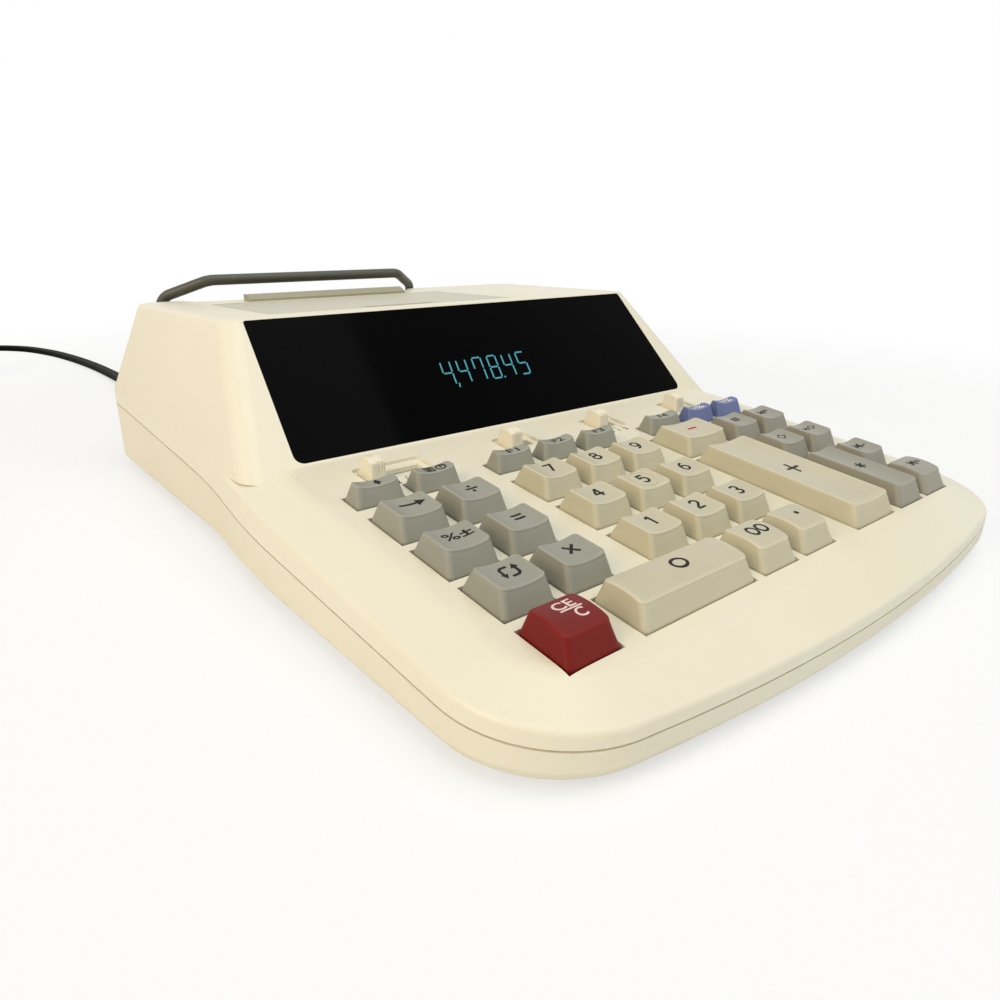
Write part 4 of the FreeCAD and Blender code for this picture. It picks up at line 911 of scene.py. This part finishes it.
hook = np.concatenate([[(0.5, 1.9)], arc(-0.9, 0.8, 1.1, 1.1, 90, 180, 9), [(-2.0, -0.6)]])
page = [((-3.4, y), (-0.7, y)) for y in (-1.2, 1.2)] + [((x, -1.4), (x, 1.4)) for x in (-3.4, -0.7)]
clock = [arc(1.9, 0, 1.45, 1.3), [(1.9, 0), (1.9, 0.9)], [(1.7, 0), (2.6, 0.3)]]
key_signs = {
    "key_shift": bars(0.85, [(-3.8, 0.1), (2.0, -0.1)]) + [head(4.0, -0.15, 1.75, -2)],
    "key_feed": bars(0.9, [(0.0, -1.4), (0.0, 0.4)]) + [head(0.0, 1.6, 1.4, 90)],
    "key_exchange": bars(0.75, hook, -hook) + [head(-2.0, -2.3, 1.15, 270), head(2.0, 2.3, 1.15, 90)],
    "key_clock": bars(0.45, *page, *clock) + bars(0.6, *([(-2.8, y), (-1.3, y)] for y in (0.45, -0.45))),
    "key_divide": bars(0.8, [(-1.9, 0), (1.9, 0)])
    + bars(0.95, *([(-0.48, y), (0.48, y)] for y in (-1.4, 1.4))),
    "key_equals": bars(0.8, *([(-1.7, y), (1.7, y)] for y in (0.85, -0.85))),
    "key_multiply": bars(0.8, [(-1.6, -1.6), (1.6, 1.6)], [(-1.6, 1.6), (1.6, -1.6)]),
    "key_plus": bars(1.05, [(-3.1, 0), (3.1, 0)], [(0, -3.1), (0, 3.1)]),
    "key_total": bars(0.7, *([-way, way] for way in arc(0, 0, 1.9, 1.9, 30, 150, 3))),
    "key_minus": bars(1.0, [(-2.3, 0), (2.3, 0)]),
    "key_point": [plate(arc(0, 0, 0.8, 0.8, 0, 345, 24))],
    "key_0": bars(0.85, arc(0, 0, 2.25, 1.8))}
key_letters = {
    "key_cost": ("F1", 2.5, 4.4), "key_sell": ("F2", 2.5, 4.6), "key_margin": ("F3", 2.5, 4.6),
    "key_rate": ("F4", 2.5, 4.6), "key_tax_minus": ("-%", 2.4, 6.2), "key_tax_plus": ("+%", 2.4, 6.2),
    "key_number": ("#", 3.4, 3.8), "key_memory_total": ("M*", 3.0, 6.2), "key_percent": ("%±", 3.2, 8.2),
    "key_subtotal": ("◇", 3.8, 4.4), "key_memory_subtotal": ("M◇", 3.0, 7.0),
    "key_memory_minus": ("M-", 3.0, 6.2), "key_memory_plus": ("M+", 3.0, 6.6)}
mark_right, mark_back, digit_gap, letter_weight = 0.7, 0.6, 3.9, 0.014


def mark_parts(node):
    """Flat corners and faces of one key's mark, in metres on the deck's x and v."""
    keys = settings("keys")
    middle, half, _, _, back = key_kind(node)
    if node == "key_clear":
        parts = clear_mark()
    elif node in key_signs:
        parts = key_signs[node]
    elif node in key_letters:
        text, height, width = key_letters[node]
        parts = [letters(text, height, letter_weight, width)]
    else:
        digits, scale = node[4:], keys.digit_height / (4.2 * MM)
        parts = [moved(stroke(np.asarray(line) * scale, keys.digit_weight / MM),
                       (place - (len(digits) - 1) / 2) * digit_gap, 0)
                 for place, digit in enumerate(digits) for line in digit_lines(digit)]
    x, v = middle + (mark_right * MM, back + (mark_back * MM if half[1] > short_limit else 0.0))
    return [moved(part, x, v, MM) for part in parts]


class CALCULATOR_OT_keys(bpy.types.Operator):
    """Mould the thirty-six keys in their own plastics"""

    bl_idname = "calculator.keys"
    bl_label = "Keys"

    def execute(self, context):
        colors = settings("colors")
        plastics = {
            "key_beige": key_plastic("key_beige_plastic", colors.number_keys),
            "key_grey": key_plastic("key_grey_plastic", colors.function_keys),
            "key_warm_grey": key_plastic("key_warm_grey_plastic", colors.memory_keys),
            "key_blue": key_plastic("key_blue_plastic", colors.percent_keys),
            "key_red": key_plastic("key_red_plastic", colors.clear_key, 0.4, 0.22)}
        for node in key_nodes:
            plastic = plastics[slots[node]].material
            add_piece(node + "_cap", key_surface(node), plastic, node, (node,))
        ring = locating_ring("key_5")
        add_piece("key_5_ring", ring, plastics["key_beige"].material, "key_5")
        return {"FINISHED"}


class CALCULATOR_OT_marks(bpy.types.Operator):
    """Print the digits and signs on the keys"""

    bl_idname = "calculator.marks"
    bl_label = "Key marks"

    def execute(self, context):
        colors, keys = settings("colors"), settings("keys")
        dark = ink("key_ink", colors.marks)
        white = ink("white_ink", rgb(228, 208, 198))
        red = ink("red_ink", rgb(170, 44, 40))
        inks = {"key_blue": white, "key_red": white}
        for node in key_nodes:
            own_ink = red if node == "key_minus" else inks.get(slots[node], dark)
            mesh = printed(node + "_mark", mark_parts(node), top_height(node), deck, keys.proud)
            add_piece(node + "_mark", mesh, own_ink.material, node)
        return {"FINISHED"}


# Slide switches

rib_depth, rib_pitch = 0.42 * MM, 1.02
scale_v, tick_v = 0.0234, 0.0254
scale_height, scale_weight = 2.1, 0.03
scales = {"switch_knob_1": ("0", "2", "3", "4", "6"), "switch_knob_2": ("0", "1"),
          "switch_knob_3": ("0", "1", "2"), "switch_knob_4": ("0", "1")}
travel = {joint["child"]: joint["range_m"][1] for joint in frame["joints"] if joint.get("child") in scales}


def knob_surface(node):
    """Slide knob: rings up a leaning wall, over a rim and in to the middle of a rounded, ribbed top.

    The top falls with the square of v. Right of a flat plate, a wave of cosines across x is cut into the
    top from above and into the front and back walls from the side.
    """
    middle = deck.middle(node)
    base = np.array([2.75, 4.0]) * MM
    top = base - np.array([0.25, 0.8]) * MM
    height, edge = 5.6 * MM, 0.6 * MM
    wall = np.array([0.02, 0.1, 0.35, 0.6, 0.85, 0.97, 1.0])
    inward = np.linspace(0.97, 0.04, 14)
    half, corner, share, drop, turn = cap_rings(base, top, edge, (0.8 * MM, 1.0 * MM), wall, inward, 9)
    x, v = rounded_ring(half[:, 0], half[:, 1], corner, side=36)
    outer = np.concatenate([np.zeros(3), np.clip(wall * 6, 0, 1), turn ** 0, 0 * inward])[:, None]
    cut = rib_depth * (1 - np.sqrt(np.abs(np.cos(np.pi * (x / MM + 0.35) / rib_pitch))) ** 3)
    cut = cut * np.clip((x / MM + 0.5) / 0.3, 0, 1) * np.clip((2.45 - x / MM) / 0.3, 0, 1)
    n = share * (height - 1.3 * MM * (v / base[1]) ** 2 - drop) - cut * np.clip((share - 0.8) / 0.2, 0, 1)
    n[:3] = np.array([[-0.8], [-0.7], [0.0]]) * MM
    v = v - np.clip(v / (0.6 * top[1]), -1, 1) * cut * outer
    return closed_surface(node + "_grip", deck.out(np.stack([x + middle[0], v + middle[1], n], -1)))


def slide_strip(node):
    """Thin strip under the deck that moves with a knob and keeps its slot closed, as a flat plate.

    It reaches as far to both sides as the knob travels, and half a knob more.
    """
    (x, v), wide = deck.middle(node), 2.2 * MM
    reach = travel[node] + 2.3 * MM
    left, right = x - reach, x + reach
    points, faces = plate([(left, v - wide), (right, v - wide), (right, v + wide), (left, v + wide)])
    points[:, 2] = (0.15 * points[:, 2] - 2.8) * MM
    mesh = bpy.data.meshes.new(node + "_strip")
    mesh.from_pydata(deck.out(points).tolist(), [], faces)
    return mesh


class CALCULATOR_OT_switches(bpy.types.Operator):
    """Make the four slide switches and their scales"""

    bl_idname = "calculator.switches"
    bl_label = "Slide switches"

    def execute(self, context):
        colors, keys = settings("colors"), settings("keys")
        ivory = moulded_plastic("knob_plastic", colors.knobs, 0.38)
        dark = ink("scale_ink", rgb(52, 50, 45))
        for node, numbers in scales.items():
            add_piece(node + "_grip", knob_surface(node), ivory.material, node, (node,))
            add_piece(node + "_strip", slide_strip(node), ivory.material, node)
            parts = []
            for place, text in zip(np.linspace(0, travel[node], len(numbers)), numbers):
                x = deck.middle(node)[0] + place
                parts.append(moved(letters(text, scale_height, scale_weight), x, scale_v, MM))
                parts.append(stroke([(x - 0.28 * MM, tick_v), (x + 0.28 * MM, tick_v)], 0.5 * MM))
            mesh = printed(node + "_scale", parts, level, deck, keys.proud, 0.01)
            add_piece(node + "_scale", mesh, dark.material, "case")
        return {"FINISHED"}


# Display, in millimetres

segments = {"a": ((0, 1), (1, 1)), "b": ((1, 1), (1, 0.5)), "c": ((1, 0.5), (1, 0)), "d": ((1, 0), (0, 0)),
            "e": ((0, 0), (0, 0.5)), "f": ((0, 0.5), (0, 1)), "g": ((0, 0.5), (1, 0.5))}
lit_text, lit_lefts, lit_bottom = "447845", (-23.8, -16.9, -9.8, -2.9, 4.0, 10.9), 19.2
lit_segments = {"4": "fgbc", "7": "fabc", "8": "abcdefg", "5": "afgcd"}


def lit_parts():
    """Bands of the lit digits, their comma and point: each runs between two corners of a leaning box.

    A corner's x moves by the lean times its height less the box's. A band ends a little short of both.
    """
    box, lean, short = np.array([3.9, 9.7]), math.tan(math.radians(8.6)), 0.32
    parts = []
    for digit, left in zip(lit_text, lit_lefts):
        for name in lit_segments[digit]:
            ends = np.array(segments[name]) * box
            way = (ends[1] - ends[0]) / np.linalg.norm(ends[1] - ends[0])
            ends = ends + np.array([way, -way]) * short
            ends[:, 0] += left + (ends[:, 1] - box[1]) * lean
            ends[:, 1] += lit_bottom
            parts.append(stroke(ends * MM, 0.56 * MM))
    parts.append(stroke(np.array([(-20.1, lit_bottom + 0.3), (-20.6, lit_bottom - 1.3)]) * MM, 0.5 * MM))
    parts.append(stroke(np.array([(0.4, lit_bottom), (1.0, lit_bottom)]) * MM, 0.6 * MM))
    return parts


class CALCULATOR_OT_display(bpy.types.Operator):
    """Light the digits and polish the display window"""

    bl_idname = "calculator.display"
    bl_label = "Display"

    def execute(self, context):
        colors = settings("colors")
        window = Finish("display_filter", Specular_IOR_Level=0.014)
        smear = window.noise(0.03, 3.0, 0.6, stretch=(3.0, 1.0, 1.0))
        dust = window.noise(0.0006, 1.0).rise(0.74, 0.8)
        window.tone(smear, rgb(2, 2, 3), rgb(5, 5, 7))
        window.feed("Roughness", 0.07 + smear.rise(0.4, 0.8) * 0.07 + dust * 0.2)
        dress("display_window", window)
        lit = Finish("lit_digit", Roughness=0.4, Emission_Strength=1.0)
        glow = lit.noise(0.0004, 1.0)
        lit.feed("Emission Color", lit.mix(glow, colors.digits, tinted(colors.digits, -0.25)))
        lit.tone(glow, rgb(20, 60, 56), rgb(16, 44, 42))
        mesh = printed("lit_digits", lit_parts(), level, display_face, 0.00002, 0.02)
        add_piece("lit_digits", mesh, lit.material, "case")
        tube = Finish("tube_glass", Specular_IOR_Level=0.5)
        wires = tube.noise(0.0008, 1.0, stretch=(1.0, 30.0, 30.0))
        tube.tone(wires.rise(0.4, 0.6), rgb(30, 52, 50), rgb(60, 84, 80))
        tube.feed("Roughness", 0.1 + wires * 0.15)
        dress("display_tube", tube)
        return {"FINISHED"}


# Case and mechanism


class CALCULATOR_OT_case(bpy.types.Operator):
    """Finish the case, its cover, guide, trim, arm, feet and screws"""

    bl_idname = "calculator.case"
    bl_label = "Case"

    def execute(self, context):
        colors = settings("colors")
        ivory = moulded_plastic("case_plastic", colors.case, 0.36, 0.0005, 0.00001)
        for node in ("upper_case", "paper_guide"):
            dress(node, ivory)
        # Painted shade: the printer cover is the case ivory made 30% darker, for the less lit top of the machine.
        cover = moulded_plastic("cover_plastic_painted_shade", tinted(colors.case, -0.3), 0.42, 0.0005)
        dress("printer_cover", cover)
        # Painted shade: the lower case is the case ivory made 4% darker.
        tray = moulded_plastic("tray_plastic", tinted(colors.case, -0.04), 0.5, 0.0006, 0.00002, 0.07)
        dress("lower_case", tray)
        olive = moulded_plastic("tear_bar_plastic", colors.tear_bar, 0.4, 0.0004, 0.00001, 0.1)
        dress("tear_bar", olive)
        arm = Finish("arm_paint", Specular_IOR_Level=0.5, Coat_Roughness=0.3)
        chips = arm.noise(0.0016, 3.0, 0.6).rise(0.68, 0.72)
        peel = arm.noise(0.0009, 2.0)
        arm.tone(chips * 0.6, colors.arm, rgb(150, 146, 132))
        arm.feed("Roughness", 0.36 + 0.12 * peel + 0.15 * chips)
        arm.bump(peel, 0.00001)
        dress("paper_arm", arm)
        dress("rubber_feet", soft_rubber("foot_rubber", rgb(40, 39, 37), 0.7))
        dress("case_screws", brushed_metal("screw_plating", rgb(178, 178, 172), 0.35, (1.0, 1.0, 1.0)))
        return {"FINISHED"}


class CALCULATOR_OT_mechanism(bpy.types.Operator):
    """Finish the printer, the boards and the transformer inside the case"""

    bl_idname = "calculator.mechanism"
    bl_label = "Mechanism"

    def execute(self, context):
        dress("printer_frame", brushed_metal("frame_plating", rgb(196, 198, 192), 0.34))
        dress("motor_pinion", brushed_metal("pinion_brass", rgb(206, 172, 96), 0.28, (1.0, 6.0, 6.0)))
        dress("print_drum", moulded_plastic("drum_plastic", rgb(46, 45, 44), 0.35, aged=(1.0, 1.0, 1.0)))
        dress("feed_roller", soft_rubber("roller_rubber", rgb(42, 41, 40), 0.6))
        felt = Finish("ink_felt", Specular_IOR_Level=0.1)
        fibre = felt.noise(0.0005, 4.0, 0.7, stretch=(3.0, 1.0, 1.0))
        soaked = felt.noise(0.012, 2.0)
        felt.tone(soaked.rise(0.3, 0.7), rgb(70, 44, 92), rgb(38, 26, 56))
        felt.feed("Roughness", 0.75 + fibre * 0.25)
        felt.bump(fibre, 0.00012)
        dress("ink_roller", felt)
        board = Finish("board_lacquer", Specular_IOR_Level=0.5)
        tracks = board.node("ShaderNodeTexBrick", {"offset": 0.5, "squash": 1.0}, {
            "Vector": board.place, "Color1": (0.0, 0.0, 0.0, 1.0), "Color2": (0.3, 0.3, 0.3, 1.0),
            "Mortar": (1.0, 1.0, 1.0, 1.0), "Scale": 90.0, "Mortar Size": 0.03, "Brick Width": 0.9,
            "Row Height": 0.25})
        board.tone(tracks, rgb(32, 92, 52), rgb(72, 134, 82))
        board.feed("Roughness", 0.3 + board.noise(0.01, 2.0) * 0.15)
        board.bump(board.node("ShaderNodeRGBToBW", {}, {0: tracks}), 0.00004)
        dress("main_board", board)
        core = Finish("core_varnish", Specular_IOR_Level=0.5)
        sheets = core.node("ShaderNodeTexWave", {"bands_direction": "Y"}, {
            "Vector": core.place, "Scale": 320.0, "Distortion": 0.4, "Detail": 1.0}, "Fac")
        varnish = core.noise(0.006, 3.0)
        core.tone(varnish.rise(0.3, 0.7), rgb(104, 84, 58), rgb(66, 58, 50))
        core.feed("Roughness", 0.32 + varnish * 0.25)
        core.bump(sheets, 0.00006)
        dress("transformer", core)
        return {"FINISHED"}


class CALCULATOR_PT_parts(bpy.types.Panel):
    """Sizes, colours and the steps that build the calculator"""

    bl_label = "Printing calculator"
    bl_idname = "CALCULATOR_PT_parts"
    bl_space_type = "VIEW_3D"
    bl_region_type = "UI"
    bl_category = "Calculator"

    def draw(self, context):
        layout = self.layout
        for name, group in setting_groups.items():
            box = layout.box()
            box.label(text=group.__doc__.rstrip("."))
            for prop in group.__annotations__:
                box.prop(getattr(context.scene, "calculator_" + name), prop)
        for step in steps:
            layout.operator(step.bl_idname)


setting_groups = {"colors": CalculatorColors, "keys": CalculatorKeys, "cord": CalculatorCord,
                  "stage": CalculatorStage}
steps = (CALCULATOR_OT_camera, CALCULATOR_OT_cord, CALCULATOR_OT_keys, CALCULATOR_OT_marks,
         CALCULATOR_OT_switches, CALCULATOR_OT_display, CALCULATOR_OT_case, CALCULATOR_OT_mechanism,
         CALCULATOR_OT_stage)


def register():
    """Adds the classes, and the settings to the scene."""
    for group in setting_groups.values():
        bpy.utils.register_class(group)
    for name, group in setting_groups.items():
        setattr(bpy.types.Scene, "calculator_" + name, bpy.props.PointerProperty(type=group))
    for step in steps + (CALCULATOR_PT_parts,):
        bpy.utils.register_class(step)


def unregister():
    """Takes them away again."""
    for step in reversed(steps + (CALCULATOR_PT_parts,)):
        bpy.utils.unregister_class(step)
    for name in setting_groups:
        delattr(bpy.types.Scene, "calculator_" + name)
    for group in reversed(setting_groups.values()):
        bpy.utils.unregister_class(group)


def main():
    """Registers the classes and builds everything in order."""
    register()
    for step in steps:
        family, name = step.bl_idname.split(".")
        getattr(getattr(bpy.ops, family), name)()


if __name__ == "__main__":
    main()
